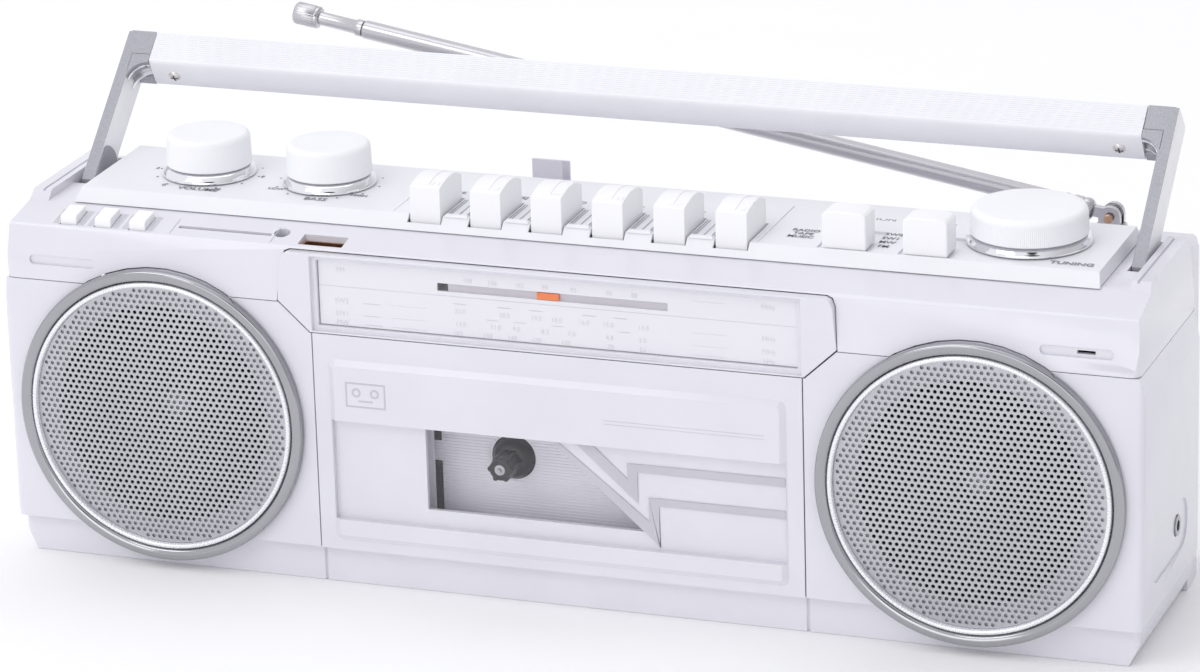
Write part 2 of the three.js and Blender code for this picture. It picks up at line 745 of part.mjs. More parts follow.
// The head bridge comes down towards the tape when PLAY is pressed; the roller rides on it.
{
  const bridge = box(-24, 38, WELL_FLOOR - 2.2, WELL_FLOOR - 0.6, 81, 88);
  const head = box(-6.5, 6.5, -46, WELL_FLOOR - 1, 77.5, 87);
  const eraseHead = box(-22, -15, -44, WELL_FLOOR - 1, 79, 87);
  const tongue = box(-2, 2, WELL_FLOOR - 1, CHASSIS + 2, 79, 82.6);
  const rollerPin = rod("y", [CAPSTAN[0], 82.8], 1.2, -46.6, WELL_FLOOR - 1, 16);
  piece("head_bridge", join(bridge, head, eraseHead, tongue, rollerPin), STEEL, 0.3, 1);
  const roller = turned("y", [CAPSTAN[0], 82.8], [
    [1.3, -45.8],
    [5.4, -45.8],
    [5.4, -38.2],
    [1.3, -38.2],
  ], 24);
  piece("pinch_roller", roller, BLACK, 0.8);
}

// ---- electronics -------------------------------------------------------------------------
{
  const board = join(box(-176, 176, -22, 14, 101, 102.6), box(-176, -72, -46, -20, 101, 102.6));
  const corners = [-173, 173].flatMap((x) => [-16, 9].map((y) => [x, y]));
  const posts = corners.map((corner) => rod("z", corner, 2, 102, DECK - WALL - GAP, 8));
  const buttonXs = BUTTONS.map((_, i) => buttonX(i));
  const pushSwitches = buttonXs.map((x) => box(x - 2, x + 2, -44.7, -40.7, 102, 108));
  const pots = [KNOBS.volume.x, KNOBS.bass.x].map((x) =>
    cut(rod("z", [x, KNOB_Y], 8.2, 102, 114.6, 16), rod("z", [x, KNOB_Y], 3.2, 111.6, 116, 12)),
  );
  const tuner = join(
    box(KNOBS.tuning.x - 10, KNOBS.tuning.x + 10, KNOB_Y - 10, KNOB_Y + 10, 102, 104),
    box(100, 118, -4, 12, 102, 108),
  );
  const switchBodies = Object.values(SWITCHES).map((x) => box(x - 6, x + 6, -21, -7, 102, 112.5));
  const chips = [-40, -12, 20].map((x) => box(x, x + 16, 6, 13, 102, 105));
  const parts = [...posts, ...pots, tuner, ...switchBodies, ...pushSwitches, ...chips];
  piece("circuit_board", join(board, ...parts), GREEN, 0.6);
  const core = join(box(74, 118, 8, 28, 18, 52), box(82, 110, 2, 34, 24, 46));
  piece("power_transformer", core, STEEL, 0.5, 1);
  const jack = cut(
    join(rod("x", [-7.5, 32.6], 3.3, 189, HALF_WIDTH - 0.2, 24), box(176, 189.6, -13, -2, 27, 38)),
    rod("x", [-7.5, 32.6], 1.8, 180, HALF_WIDTH + 1, 20),
  );
  piece("headphone_jack", jack, STEEL, 0.25, 1);
}

// ---- handle ------------------------------------------------------------------------------
// Built lying along local Y from the pivot, with local Z towards its front face.
{
  const handle = new THREE.Group();
  handle.position.set(0, 0, PIVOT_Z);
  handle.rotation.x = THREE.MathUtils.degToRad(HANDLE_LEAN);
  part.add(handle);
  const face = 7.4;
  const back = -4.8;
  const gripStart = 40.4;
  const gripEnd = 172.6;
  const armProfile = [
    [-8.2, face - 1],
    [-7, face],
    [ARM_LENGTH - 0.6, face],
    [ARM_LENGTH, face - 0.6],
    [ARM_LENGTH, back + 1],
    [ARM_LENGTH - 1, back],
    [10, back],
    ...Array.from({ length: 9 }, (_, i) => {
      const turn = THREE.MathUtils.degToRad(-35 - 16.5 * i);
      return [10.6 * Math.cos(turn), 10.6 * Math.sin(turn)];
    }),
  ];
  for (const [side, sign] of Object.entries({ left: -1, right: 1 })) {
    const span = (a, b) => [Math.min(sign * a, sign * b), Math.max(sign * a, sign * b)];
    const [inner, outer] = span(ARM_OUTER - ARM_THICK, ARM_OUTER);
    const [capIn, capOut] = span(gripEnd + GAP, ARM_OUTER - 1);
    const [pinIn, pinOut] = span(ARM_OUTER - 1, ARM_OUTER + 4);
    const [cornerIn, cornerOut] = span(gripEnd - 1, ARM_OUTER - ARM_THICK + 0.5);
    const arm = prism("x", armProfile, inner, outer);
    const cap = box(capIn, capOut, gripStart - 1.6, ARM_LENGTH, back + 0.3, face);
    const thumbNotch = box(cornerIn, cornerOut, gripStart - 4, gripStart + 3, -0.5, face + 1);
    const pin = rod("x", [0, 0], 1.8, pinIn, pinOut, 16);
    piece(`handle_arm_${side}`, cut(join(arm, cap, pin), thumbNotch), SILVER, 0.35, 1, handle);
  }
  const grip = [
    [gripStart + 0.6, face],
    [ARM_LENGTH, face],
    [ARM_LENGTH + 0.1, back + 2],
    [ARM_LENGTH - 2, back + 0.2],
    [gripStart - 0.4, back + 0.2],
    [gripStart - 2, back + 1.6],
    [gripStart, face - 0.8],
  ];
  let bar = prism("x", grip, -gripEnd, gripEnd);
  for (const [side, x] of Object.entries({ left: -164.7, right: 164.7 })) {
    const seat = rod("y", [x, 0.6], 2.6, 30, gripStart, 20);
    const hole = rod("y", [x, 0.6], 1.6, 30, gripStart + 8, 16);
    bar = cut(bar, seat, hole);
    const screw = join(
      rod("y", [x, 0.6], 2.3, gripStart - 1.9, gripStart - 0.4, 20),
      rod("y", [x, 0.6], 1.3, gripStart - 1, gripStart + 7, 16),
    );
    piece(`handle_screw_${side}`, screw, STEEL, 0.3, 1, handle);
  }
  piece("handle_grip", bar, WHITE, 0.4, 0, handle);
}

// ---- antenna -----------------------------------------------------------------------------
{
  const [x, y] = ANTENNA_FOOT;
  const foot = join(
    rod("z", ANTENNA_FOOT, 2.9, 106, 113, 12),
    rod("z", ANTENNA_FOOT, 5.2, 111.8, 113.6, 16),
    box(x - 3.6, x + 3.6, y - 3.6, y + 3.6, 113, ANTENNA_PIVOT_Z),
    rod("y", [x, ANTENNA_PIVOT_Z], 3.6, y - 3.6, y + 3.6, 16),
  );
  const slot = box(x - 9, x + 9, y - 1.5, y + 1.5, 113.9, 125);
  const pin = rod("y", [x, ANTENNA_PIVOT_Z], 1.3, y - 4, y + 4, 12);
  piece("antenna_swivel", join(cut(foot, slot), pin), SILVER, 0.3, 1);

  // Built along local -X from the tilt pivot.
  const mast = new THREE.Group();
  mast.position.set(x, y, ANTENNA_PIVOT_Z);
  mast.rotation.y = THREE.MathUtils.degToRad(ANTENNA_RISE);
  part.add(mast);
  const tube = (...profile) => turned("x", [0, 0], profile, 12);
  const sleeve = tube(
    [0, -6],
    [2.5, -6],
    [3.7, -7.5],
    [3.7, -13],
    [3.15, -13.6],
    [3.15, -MAST_LENGTH],
    [2.6, -MAST_LENGTH],
    [2.6, -16],
    [0, -16],
  );
  const eye = join(rod("y", [0, 0], 2.9, -1.2, 1.2, 16), box(-8, 0, -1.2, 1.2, -1.8, 1.8));
  piece("antenna_mast", join(cut(eye, rod("y", [0, 0], 1.4, -2, 2, 16)), sleeve), CHROME, 0.15, 1, mast);
  const inner = tube(
    [0, -18],
    [2.3, -18],
    [2.3, -MAST_LENGTH - 0.3],
    [2.8, -MAST_LENGTH - 0.3],
    [2.8, -MAST_LENGTH - 3],
    [2.2, -MAST_LENGTH - 3.4],
    [2.2, -MAST_LENGTH - 16.4],
    [3.1, -MAST_LENGTH - 16.4],
    [3.8, -MAST_LENGTH - 17.2],
    [3.8, -MAST_LENGTH - 24.6],
    [3.2, -MAST_LENGTH - 25.4],
    [0, -MAST_LENGTH - 25.4],
  );
  piece("antenna_rod", inner, CHROME, 0.15, 1, mast);
}

export default part;
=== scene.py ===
"""Looks of a portable radio cassette recorder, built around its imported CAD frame.

Metres, in the CAD frame: X is right, Y is back, Z is up, and the front faces -Y.
"""

import json
import math

import bmesh
import bpy
from mathutils import Matrix, Vector

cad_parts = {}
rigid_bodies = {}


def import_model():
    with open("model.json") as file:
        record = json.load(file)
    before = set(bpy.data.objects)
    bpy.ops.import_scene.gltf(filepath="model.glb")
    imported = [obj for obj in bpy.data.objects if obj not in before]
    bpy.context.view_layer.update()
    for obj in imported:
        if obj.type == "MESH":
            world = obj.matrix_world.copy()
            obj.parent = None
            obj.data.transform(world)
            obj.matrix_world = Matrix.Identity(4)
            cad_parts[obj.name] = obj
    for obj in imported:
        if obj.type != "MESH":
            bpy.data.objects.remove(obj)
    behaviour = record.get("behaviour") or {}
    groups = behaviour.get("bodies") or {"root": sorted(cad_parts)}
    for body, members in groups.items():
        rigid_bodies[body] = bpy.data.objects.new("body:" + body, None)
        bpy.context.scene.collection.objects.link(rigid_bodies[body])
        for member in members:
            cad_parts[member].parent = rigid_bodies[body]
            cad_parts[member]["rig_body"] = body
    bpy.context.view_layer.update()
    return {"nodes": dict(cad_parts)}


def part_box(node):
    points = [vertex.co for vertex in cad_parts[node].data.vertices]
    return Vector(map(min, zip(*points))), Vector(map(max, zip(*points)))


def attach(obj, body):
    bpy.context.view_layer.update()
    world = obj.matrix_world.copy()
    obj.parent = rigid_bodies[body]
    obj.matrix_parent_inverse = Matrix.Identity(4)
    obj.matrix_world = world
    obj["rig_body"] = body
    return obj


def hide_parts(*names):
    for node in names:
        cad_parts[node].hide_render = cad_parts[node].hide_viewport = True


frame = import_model()

MM = 0.001
CABINET = "cabinet"
SPEAKERS = ("left", "right")
KNOBS = ("volume", "bass", "tuning")
KEYS = ("pause_key", "stop_key", "forward_key", "rewind_key", "play_key", "record_key")
SWITCHES = ("function_switch", "band_switch")
BUTTONS = ("mode_button", "previous_button", "next_button")


def centre_of(node):
    low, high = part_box(node)
    return (low + high) / 2


def body_of(node):
    """The CAD body that a node belongs to."""
    return frame["nodes"][node]["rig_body"]


# ---- materials ---------------------------------------------------------------------------
def shader_nodes(name):
    """A new node material: its tree, its Principled shader and its object coordinates."""
    material = bpy.data.materials.new(name)
    material.use_nodes = True
    tree = material.node_tree
    shader = tree.nodes["Principled BSDF"]
    coordinates = tree.nodes.new("ShaderNodeTexCoord").outputs["Object"]
    return material, tree, shader, coordinates


def noise(tree, coordinates, scale, detail=3.0, stretch=(1, 1, 1)):
    """A noise texture's value, its grain stretched along the axes with a small factor."""
    mapping = tree.nodes.new("ShaderNodeMapping")
    mapping.inputs["Scale"].default_value = stretch
    texture = tree.nodes.new("ShaderNodeTexNoise")
    texture.inputs["Scale"].default_value = scale
    texture.inputs["Detail"].default_value = detail
    tree.links.new(coordinates, mapping.inputs["Vector"])
    tree.links.new(mapping.outputs["Vector"], texture.inputs["Vector"])
    return texture.outputs["Fac"]


def spread(tree, value, low, high):
    """Maps a texture value of about 0.3 to 0.7 to the range low to high."""
    node = tree.nodes.new("ShaderNodeMapRange")
    node.inputs["From Min"].default_value = 0.3
    node.inputs["From Max"].default_value = 0.7
    node.inputs["To Min"].default_value = low
    node.inputs["To Max"].default_value = high
    tree.links.new(value, node.inputs["Value"])
    return node.outputs["Result"]


def tint(tree, value, dark, light):
    """A colour between dark and light, by a texture value."""
    ramp = tree.nodes.new("ShaderNodeValToRGB")
    ramp.color_ramp.elements[0].position = 0.3
    ramp.color_ramp.elements[0].color = (*dark, 1)
    ramp.color_ramp.elements[1].position = 0.7
    ramp.color_ramp.elements[1].color = (*light, 1)
    tree.links.new(value, ramp.inputs["Fac"])
    return ramp.outputs["Color"]


def bump(tree, shader, height, depth, strength=1.0):
    """Raises the surface by up to depth metres where the height value is 1."""
    node = tree.nodes.new("ShaderNodeBump")
    node.inputs["Strength"].default_value = strength
    node.inputs["Distance"].default_value = depth
    tree.links.new(height, node.inputs["Height"])
    tree.links.new(node.outputs["Normal"], shader.inputs["Normal"])


def shade(colour, factor):
    """A lighter or darker version of a colour."""
    return tuple(min(1.0, c * factor) for c in colour)


def surface(name, colour, roughness, metallic=0.0, grain=1500, depth=0.01, mottle=0.02,
            stretch=(1, 1, 1), coat=0.0, specular=0.5):
    """A moulded, painted or metal surface: faint cloudy colour, uneven gloss and a fine grain."""
    material, tree, shader, coordinates = shader_nodes(name)
    clouds = noise(tree, coordinates, 35, 4)
    fine = noise(tree, coordinates, grain, 2, stretch)
    colours = tint(tree, clouds, shade(colour, 1 - mottle), shade(colour, 1 + mottle))
    tree.links.new(colours, shader.inputs["Base Color"])
    uneven = spread(tree, fine, roughness * 0.85, roughness * 1.15)
    tree.links.new(uneven, shader.inputs["Roughness"])
    shader.inputs["Metallic"].default_value = metallic
    shader.inputs["Specular IOR Level"].default_value = specular
    shader.inputs["Coat Weight"].default_value = coat
    shader.inputs["Coat Roughness"].default_value = 0.05
    bump(tree, shader, fine, depth * MM)
    return material


def flake_paint(name, dark, light, roughness):
    """Silver paint: fine bright and dark metal flakes under a soft cloudiness."""
    material, tree, shader, coordinates = shader_nodes(name)
    flakes = noise(tree, coordinates, 2600, 2)
    colours = tint(tree, flakes, dark, light)
    tree.links.new(colours, shader.inputs["Base Color"])
    clouds = noise(tree, coordinates, 60, 3)
    uneven = spread(tree, clouds, roughness * 0.85, roughness * 1.2)
    tree.links.new(uneven, shader.inputs["Roughness"])
    shader.inputs["Metallic"].default_value = 0.6
    bump(tree, shader, flakes, 0.012 * MM)
    return material


def clear(name, colour, alpha, roughness=0.04):
    """Clear plastic with a trace of haze."""
    material, tree, shader, coordinates = shader_nodes(name)
    haze = noise(tree, coordinates, 60, 3)
    tree.links.new(tint(tree, haze, shade(colour, 0.97), colour), shader.inputs["Base Color"])
    tree.links.new(spread(tree, haze, alpha * 0.97, alpha * 1.03), shader.inputs["Alpha"])
    shader.inputs["Roughness"].default_value = roughness
    shader.inputs["Specular IOR Level"].default_value = 0.35
    return material


LAVENDER_WHITE = (0.75, 0.742, 0.795)
MATERIALS = {
    "cabinet": surface("cabinet_white", LAVENDER_WHITE, 0.22, coat=0.35, depth=0.004),
    "key": surface("key_white", (0.93, 0.93, 0.945), 0.34, depth=0.0015, mottle=0.005),
    "knob": surface("knob_white", (0.92, 0.92, 0.945), 0.42, depth=0.012, grain=2600, mottle=0.01),
    "grip": surface("grip_white", (0.86, 0.86, 0.89), 0.34, depth=0.006),
    "panel": surface("panel_grey", (0.84, 0.84, 0.87), 0.40, depth=0.012, grain=2600, mottle=0.01),
    "rear": surface("rear_white", (0.745, 0.735, 0.785), 0.36, depth=0.01, grain=1700),
    "well": surface("well_grey", (0.93, 0.91, 0.97), 0.4, depth=0.01, mottle=0.02),
    "silver": flake_paint("silver_paint", (0.33, 0.33, 0.36), (0.44, 0.44, 0.475), 0.42),
    "brushed": surface("brushed_white_metal", (0.88, 0.88, 0.90), 0.45, 0.3, grain=900, depth=0.03,
                       stretch=(1, 1, 0.12), mottle=0.05),
    "chrome": surface("chrome", (0.40, 0.40, 0.42), 0.09, 1.0, depth=0.001, mottle=0.03),
    "bright": surface("bright_chrome", (0.86, 0.86, 0.88), 0.05, 1.0, depth=0.001, mottle=0.02),
    "lip": surface("satin_lip", (0.88, 0.88, 0.91), 0.28, 0.45, depth=0.003, mottle=0.02),
    "tube": surface("satin_tube", (0.58, 0.57, 0.59), 0.24, 1.0, stretch=(0.03, 1, 1), depth=0.003,
                    mottle=0.03),
    "grille": surface("grille_silver", (0.52, 0.52, 0.55), 0.34, 0.85, depth=0.006, mottle=0.04),
    # Plated steel parts; the same colour on the handle's corner web is a painted dark reflection band.
    "steel": surface("plated_steel_and_painted_dark_band", (0.45, 0.45, 0.47), 0.35, 1.0, mottle=0.06),
    "copper": surface("copper_shell", (0.62, 0.40, 0.27), 0.30, 1.0, mottle=0.08),
    # Black plastic parts; the same black is painted shade in the screw heads' crosses and the back's
    # vent slots.
    "black": surface("black_plastic", (0.022, 0.022, 0.026), 0.38, depth=0.01, mottle=0.2),
    "rubber": surface("rubber", (0.02, 0.02, 0.02), 0.75, depth=0.02, mottle=0.2),
    "paper": surface("cone_paper", (0.012, 0.012, 0.013), 0.8, depth=0.05, grain=900, mottle=0.3),
    "board": surface("solder_mask", (0.02, 0.16, 0.07), 0.4, depth=0.03, grain=700, mottle=0.15),
    "orange": surface("pointer_orange", (0.86, 0.20, 0.03), 0.45, depth=0.01, mottle=0.05),
    "ink": surface("grey_ink", (0.24, 0.24, 0.27), 0.5, depth=0.01, mottle=0.08),
    "faint_ink": surface("faint_ink", (0.58, 0.57, 0.62), 0.5, depth=0.01, mottle=0.05),
    # Grey for the grooves beside the keys and buttons: painted shade of the grooves.
    "score": surface("score_line", (0.52, 0.52, 0.55), 0.5, depth=0.01, mottle=0.05),
    "track": surface("pointer_track", (0.56, 0.54, 0.58), 0.5, depth=0.01, mottle=0.04),
    "hub": surface("hub_plastic", (0.018, 0.017, 0.02), 0.32, depth=0.003, mottle=0.2),
    "stripe": surface("stripe_grey", (0.55, 0.54, 0.59), 0.35, depth=0.004, mottle=0.03),
    "screw": surface("screw_steel", (0.72, 0.70, 0.68), 0.32, 0.8, depth=0.003, mottle=0.04),
    "print": surface("lens_backing", (0.80, 0.79, 0.83), 0.35, depth=0.004, mottle=0.01),
    "lens": clear("clear_lens", (0.96, 0.96, 0.99), 0.03),
}

# What each carried-over CAD node is made of.
NODE_MATERIALS = {
    "cabinet": ("base_plinth", "lower_shell", "upper_shell", "cassette_door", "dial_frame"),
    "rear": ("rear_shell", "battery_cover"),
    "key": (*KEYS, *SWITCHES, *BUTTONS),
    "panel": ("control_panel",),
    "well": ("cassette_well",),
    "silver": ("handle_arm_left", "handle_arm_right"),
    "chrome": ("antenna_rod",),
    "tube": ("antenna_swivel", "antenna_mast"),
    "steel": ("tape_chassis", "capstan_flywheel", "drive_motor", "head_bridge", "key_axle",
              "power_transformer", "headphone_jack", "handle_screw_left", "handle_screw_right"),
    "copper": ("usb_port", "motor_pulley"),
    "black": ("ac_inlet", "supply_spindle", "takeup_spindle"),
    "paper": ("speaker_driver_left", "speaker_driver_right"),
    "rubber": ("drive_belt", "pinch_roller"),
    "board": ("circuit_board",),
    "orange": ("dial_pointer",),
    "print": ("dial_plate",),
    "lens": ("dial_lens", "door_lens", "status_lamp"),
}


# ---- building pieces ---------------------------------------------------------------------
def add_piece(name, mesh, material, body):
    """A mesh as a piece in the row frame that rides on a CAD body."""
    piece = bpy.data.objects.new(name, mesh)
    bpy.context.scene.collection.objects.link(piece)
    piece.data.materials.clear()
    piece.data.materials.append(MATERIALS[material])
    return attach(piece, body)


def from_bmesh(name, shape, material, body, smooth_below=40):
    """Ends a bmesh: outward faces, smooth but for edges sharper than smooth_below degrees."""
    bmesh.ops.recalc_face_normals(shape, faces=shape.faces)
    for face in shape.faces:
        face.smooth = True
    for edge in shape.edges:
        if len(edge.link_faces) == 2:
            edge.smooth = edge.calc_face_angle() < math.radians(smooth_below)
    mesh = bpy.data.meshes.new(name)
    shape.to_mesh(mesh)
    shape.free()
    return add_piece(name, mesh, material, body)


def round_edges(piece, width, segments=2, above=32):
    """Rounds a piece's edges that are sharper than `above` degrees."""
    bevel = piece.modifiers.new("rounded_edges", "BEVEL")
    bevel.width = width
    bevel.segments = segments
    bevel.limit_method = "ANGLE"
    bevel.angle_limit = math.radians(above)
    bevel.harden_normals = True
    return piece


def refine(node, material, width, segments=2, above=32):
    """A detailed copy of a CAD node: merged faces, softly rounded edges, a real material."""
    shape = bmesh.new()
    shape.from_mesh(frame["nodes"][node].data)
    bmesh.ops.remove_doubles(shape, verts=shape.verts, dist=0.002 * MM)
    bmesh.ops.dissolve_limit(
        shape, angle_limit=math.radians(0.4), verts=shape.verts, edges=shape.edges
    )
    piece = from_bmesh(f"{node}_finished", shape, material, body_of(node), above)
    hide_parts(node)
    return round_edges(piece, width, segments, above)


def lathe(name, profile, axis, centre, material, body, segments=128):
    """A profile of (radius, height) turned about an axis through centre; it closes on itself."""
    shape = bmesh.new()
    turn = {
        "y": lambda r, h, c, s: Vector((centre[0] + r * c, h, centre[1] + r * s)),
        "z": lambda r, h, c, s: Vector((centre[0] + r * c, centre[1] + r * s, h)),
    }[axis]
    rings = []
    for i in range(segments):
        angle = 2 * math.pi * i / segments
        c, s = math.cos(angle), math.sin(angle)
        rings.append([shape.verts.new(turn(r, h, c, s)) for r, h in profile])
    for i, ring in enumerate(rings):
        following = rings[(i + 1) % segments]
        for j in range(len(profile)):
            k = (j + 1) % len(profile)
            if profile[j][0] > 0 or profile[k][0] > 0:
                shape.faces.new((ring[j], ring[k], following[k], following[j]))
    bmesh.ops.remove_doubles(shape, verts=shape.verts, dist=1e-7)
    return from_bmesh(name, shape, material, body)


def prism(name, outline, place, depth, material, body):
    """An outline of (a, b) points given thickness. place(a, b, d) gives a point in the frame."""
    shape = bmesh.new()
    near = [shape.verts.new(place(a, b, 0)) for a, b in outline]
    far = [shape.verts.new(place(a, b, depth)) for a, b in outline]
    shape.faces.new(near)
    shape.faces.new(far[::-1])
    for i in range(len(outline)):
        k = (i + 1) % len(outline)
        shape.faces.new((near[i], far[i], far[k], near[k]))
    return from_bmesh(name, shape, material, body)


def join_pieces(name, pieces):
    """Joins pieces of one material and body into one."""
    bpy.ops.object.select_all(action="DESELECT")
    for piece in pieces:
        piece.select_set(True)
    bpy.context.view_layer.objects.active = pieces[0]
    bpy.ops.object.join()
    pieces[0].name = name
    return pieces[0]


def lettering(name, items, plane, material, body, weight=0.0, thickness=0.02 * MM):
    """Small raised print, its strokes widened by weight. items hold (text, a, b, height)."""
    shape = bmesh.new()
    for text, a, b, height in items:
        curve = bpy.data.curves.new(name, "FONT")
        curve.offset = weight
        curve.body = text
        curve.size = height * MM / 0.7
        curve.align_x = "CENTER"
        curve.align_y = "CENTER"
        curve.extrude = thickness
        curve.resolution_u = 3
        writing = bpy.data.objects.new(name, curve)
        letters = bpy.data.meshes.new_from_object(writing)
        letters.transform(plane @ Matrix.Translation(Vector((a, b, 0)) * MM))
        shape.from_mesh(letters)
        bpy.data.objects.remove(writing)
        bpy.data.curves.remove(curve)
        bpy.data.meshes.remove(letters)
    return from_bmesh(name, shape, material, body)


def bars(name, boxes, material, body, plane=Matrix.Identity(4)):
    """Straight-edged strips, given as (x0, x1, y0, y1, z0, z1) in millimetres of the plane."""
    shape = bmesh.new()
    for x0, x1, y0, y1, z0, z1 in boxes:
        block = bmesh.ops.create_cube(shape, size=1)["verts"]
        size = Matrix.Diagonal((x1 - x0, y1 - y0, z1 - z0, 1 / MM)) * MM
        middle = Vector((x0 + x1, y0 + y1, z0 + z1)) / 2 * MM
        bmesh.ops.transform(shape, matrix=plane @ Matrix.Translation(middle) @ size, verts=block)
    return from_bmesh(name, shape, material, body)


def facing_front(y):
    """The plane of an upright face at y, with its own X to the right and Y up."""
    return Matrix.Translation((0, y, 0)) @ Matrix.Rotation(math.radians(90), 4, "X")


def facing_up(z):
    """The level plane at height z."""
    return Matrix.Translation((0, 0, z))


def in_metres(profile):
    """A profile of (radius, height) pairs in millimetres, for lathe()."""
    return [(r * MM, h * MM) for r, h in profile]


def smooth_levels(profile):
    """A profile in millimetres, for ribbed_lathe() with no ribs anywhere."""
    return [(r * MM, h * MM, 0) for r, h in profile]


def circle(radius, degrees):
    """Points on a circle about the origin, one at each of the given angles."""
    turns = [math.radians(angle) for angle in degrees]
    return [(radius * math.cos(turn), radius * math.sin(turn)) for turn in turns]


# ---- CAD nodes that stay -----------------------------------------------------------------
for material_name, nodes in NODE_MATERIALS.items():
    for node in nodes:
        data = frame["nodes"][node].data
        data.materials.clear()
        data.materials.append(MATERIALS[material_name])

# How far each refined node's edges are rounded, in millimetres.
ROUNDED = {
    "base_plinth": 0.5, "lower_shell": 0.45, "upper_shell": 0.6, "rear_shell": 0.7,
    "battery_cover": 0.25, "control_panel": 0.45, "dial_frame": 0.35, "cassette_door": 0.5,
    "handle_arm_left": 0.45, "handle_arm_right": 0.45, "function_switch": 1.5, "band_switch": 1.5,
    "ac_inlet": 0.3, "dial_lens": 0.25, "door_lens": 0.3,
}
ROUNDED.update({name: 0.6 for name in KEYS})
ROUNDED.update({name: 0.35 for name in BUTTONS})
MATERIAL_OF = {node: name for name, nodes in NODE_MATERIALS.items() for node in nodes}
for node, width in ROUNDED.items():
    segments = 4 if node in SWITCHES else 2
    refine(node, MATERIAL_OF[node], width * MM, segments)


# ---- speakers ----------------------------------------------------------------------------
def ring_profile(radius, inner, front):
    """(radius, y) of a trim ring's two parts: the shoulder with its cove, and the inner lip."""
    def arc(r, y, size, start, end, steps=6):
        turns = [math.radians(start + (end - start) * i / steps) for i in range(steps + 1)]
        return [(r + size * MM * math.cos(t), y - size * MM * math.sin(t)) for t in turns]

    shoulder = arc(radius - 1.0 * MM, front + 1.1 * MM, 1.0, 0, 105)
    cove = [(radius - (1.6 + 0.35 * i) * MM, front + (0.15 + 0.02 * i * i) * MM) for i in range(6)]
    groove = [(inner + 1.85 * MM, front + 1.7 * MM)]
    wall = [(inner + 1.85 * MM, front + 2.7 * MM), (radius, front + 2.7 * MM)]
    lip = arc(inner + 0.9 * MM, front + 1.05 * MM, 0.8, 0, 180, 12)
    lip_foot = [(inner + 0.1 * MM, front + 2.7 * MM), (inner + 1.7 * MM, front + 2.7 * MM)]
    return shoulder + cove + groove + wall, lip + lip_foot


def perforated_disc(name, centre, radius, dome, sheet, pitch, hole, material, body):
    """A domed sheet of hexagonal cells with a round hole in each; dome(r) gives its y."""
    verts, faces, known = [], [], {}

    def vertex(x, z, depth):
        r = math.hypot(x, z)
        if r > radius:
            x, z, r = x * radius / r, z * radius / r, radius
        key = (round(x / MM, 3), round(z / MM, 3), depth)
        if key not in known:
            known[key] = len(verts)
            verts.append((centre[0] + x, dome(r) + depth * sheet, centre[1] + z))
        return known[key]

    def cell(x, z, open_cell):
        corners = []
        for i in range(6):
            a, b = (math.radians(60 * k + 30) for k in (i, i + 1))
            size = pitch / math.sqrt(3)
            first = (x + size * math.cos(a), z + size * math.sin(a))
            second = (x + size * math.cos(b), z + size * math.sin(b))
            corners += [first, ((first[0] + second[0]) / 2, (first[1] + second[1]) / 2)]
        rim = []
        for i in range(12):
            turn = math.radians(30 * i + 30)
            rim.append((x + hole / 2 * math.cos(turn), z + hole / 2 * math.sin(turn)))
        for depth in (0, 1):
            outer = [vertex(*corner, depth) for corner in corners]
            if not open_cell:
                faces.append(outer[::-1] if depth else outer)
                continue
            inner = [vertex(*point, depth) for point in rim]
            for i in range(12):
                k = (i + 1) % 12
                quad = (outer[i], outer[k], inner[k], inner[i])
                faces.append(quad[::-1] if depth else quad)
        if open_cell:
            for i in range(12):
                near, far = rim[i], rim[(i + 1) % 12]
                faces.append((vertex(*far, 0), vertex(*far, 1), vertex(*near, 1), vertex(*near, 0)))

    rows = int(radius / (pitch * math.sqrt(3) / 2)) + 1
    for row in range(-rows, rows + 1):
        z = row * pitch * math.sqrt(3) / 2
        for column in range(-rows - 1, rows + 2):
            x = (column + 0.5 * (row % 2)) * pitch
            distance = math.hypot(x, z)
            if distance < radius + 0.45 * pitch:
                cell(x, z, distance < radius - 0.62 * hole)
    distinct = [[v for i, v in enumerate(face) if v != face[i - 1]] for face in faces]
    mesh = bpy.data.meshes.new(name)
    mesh.from_pydata(verts, [], [face for face in distinct if len(set(face)) > 2])
    mesh.validate()
    return add_piece(name, mesh, material, body)


MESH_SHEET, MESH_PITCH, MESH_HOLE, MESH_DOME = 0.45 * MM, 2.15 * MM, 1.28 * MM, 1.15 * MM
DUST_CAP = [(0, 0), (2.5, 0.3), (4.6, 1.3), (5.2, 2.4), (0, 2.4)]
for side in SPEAKERS:
    ring_low, ring_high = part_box(f"speaker_ring_{side}")
    grille_low, grille_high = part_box(f"speaker_grille_{side}")
    middle = centre_of(f"speaker_ring_{side}")
    centre = (middle.x, middle.z)
    ring_radius = (ring_high.x - ring_low.x) / 2
    grille_radius = (grille_high.x - grille_low.x) / 2
    trim_profile, lip_profile = ring_profile(ring_radius, grille_radius, ring_low.y)
    ring = lathe(f"speaker_trim_{side}", trim_profile, "y", centre, "chrome", CABINET, 192)
    lip = lathe(f"speaker_lip_{side}", lip_profile, "y", centre, "lip", CABINET, 192)
    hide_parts(f"speaker_ring_{side}")

    def dome(r):
        return grille_low.y + MESH_DOME * (r / grille_radius) ** 2

    grille = perforated_disc(
        f"speaker_mesh_{side}", centre, grille_radius, dome, MESH_SHEET, MESH_PITCH, MESH_HOLE,
        "grille", CABINET,
    )
    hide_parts(f"speaker_grille_{side}")
    cap_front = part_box(f"speaker_driver_{side}")[0].y + 5.5 * MM
    cap_profile = [(r * MM, cap_front + y * MM) for r, y in DUST_CAP]
    cap = lathe(f"speaker_cap_{side}", cap_profile, "y", centre, "grille", CABINET, 48)


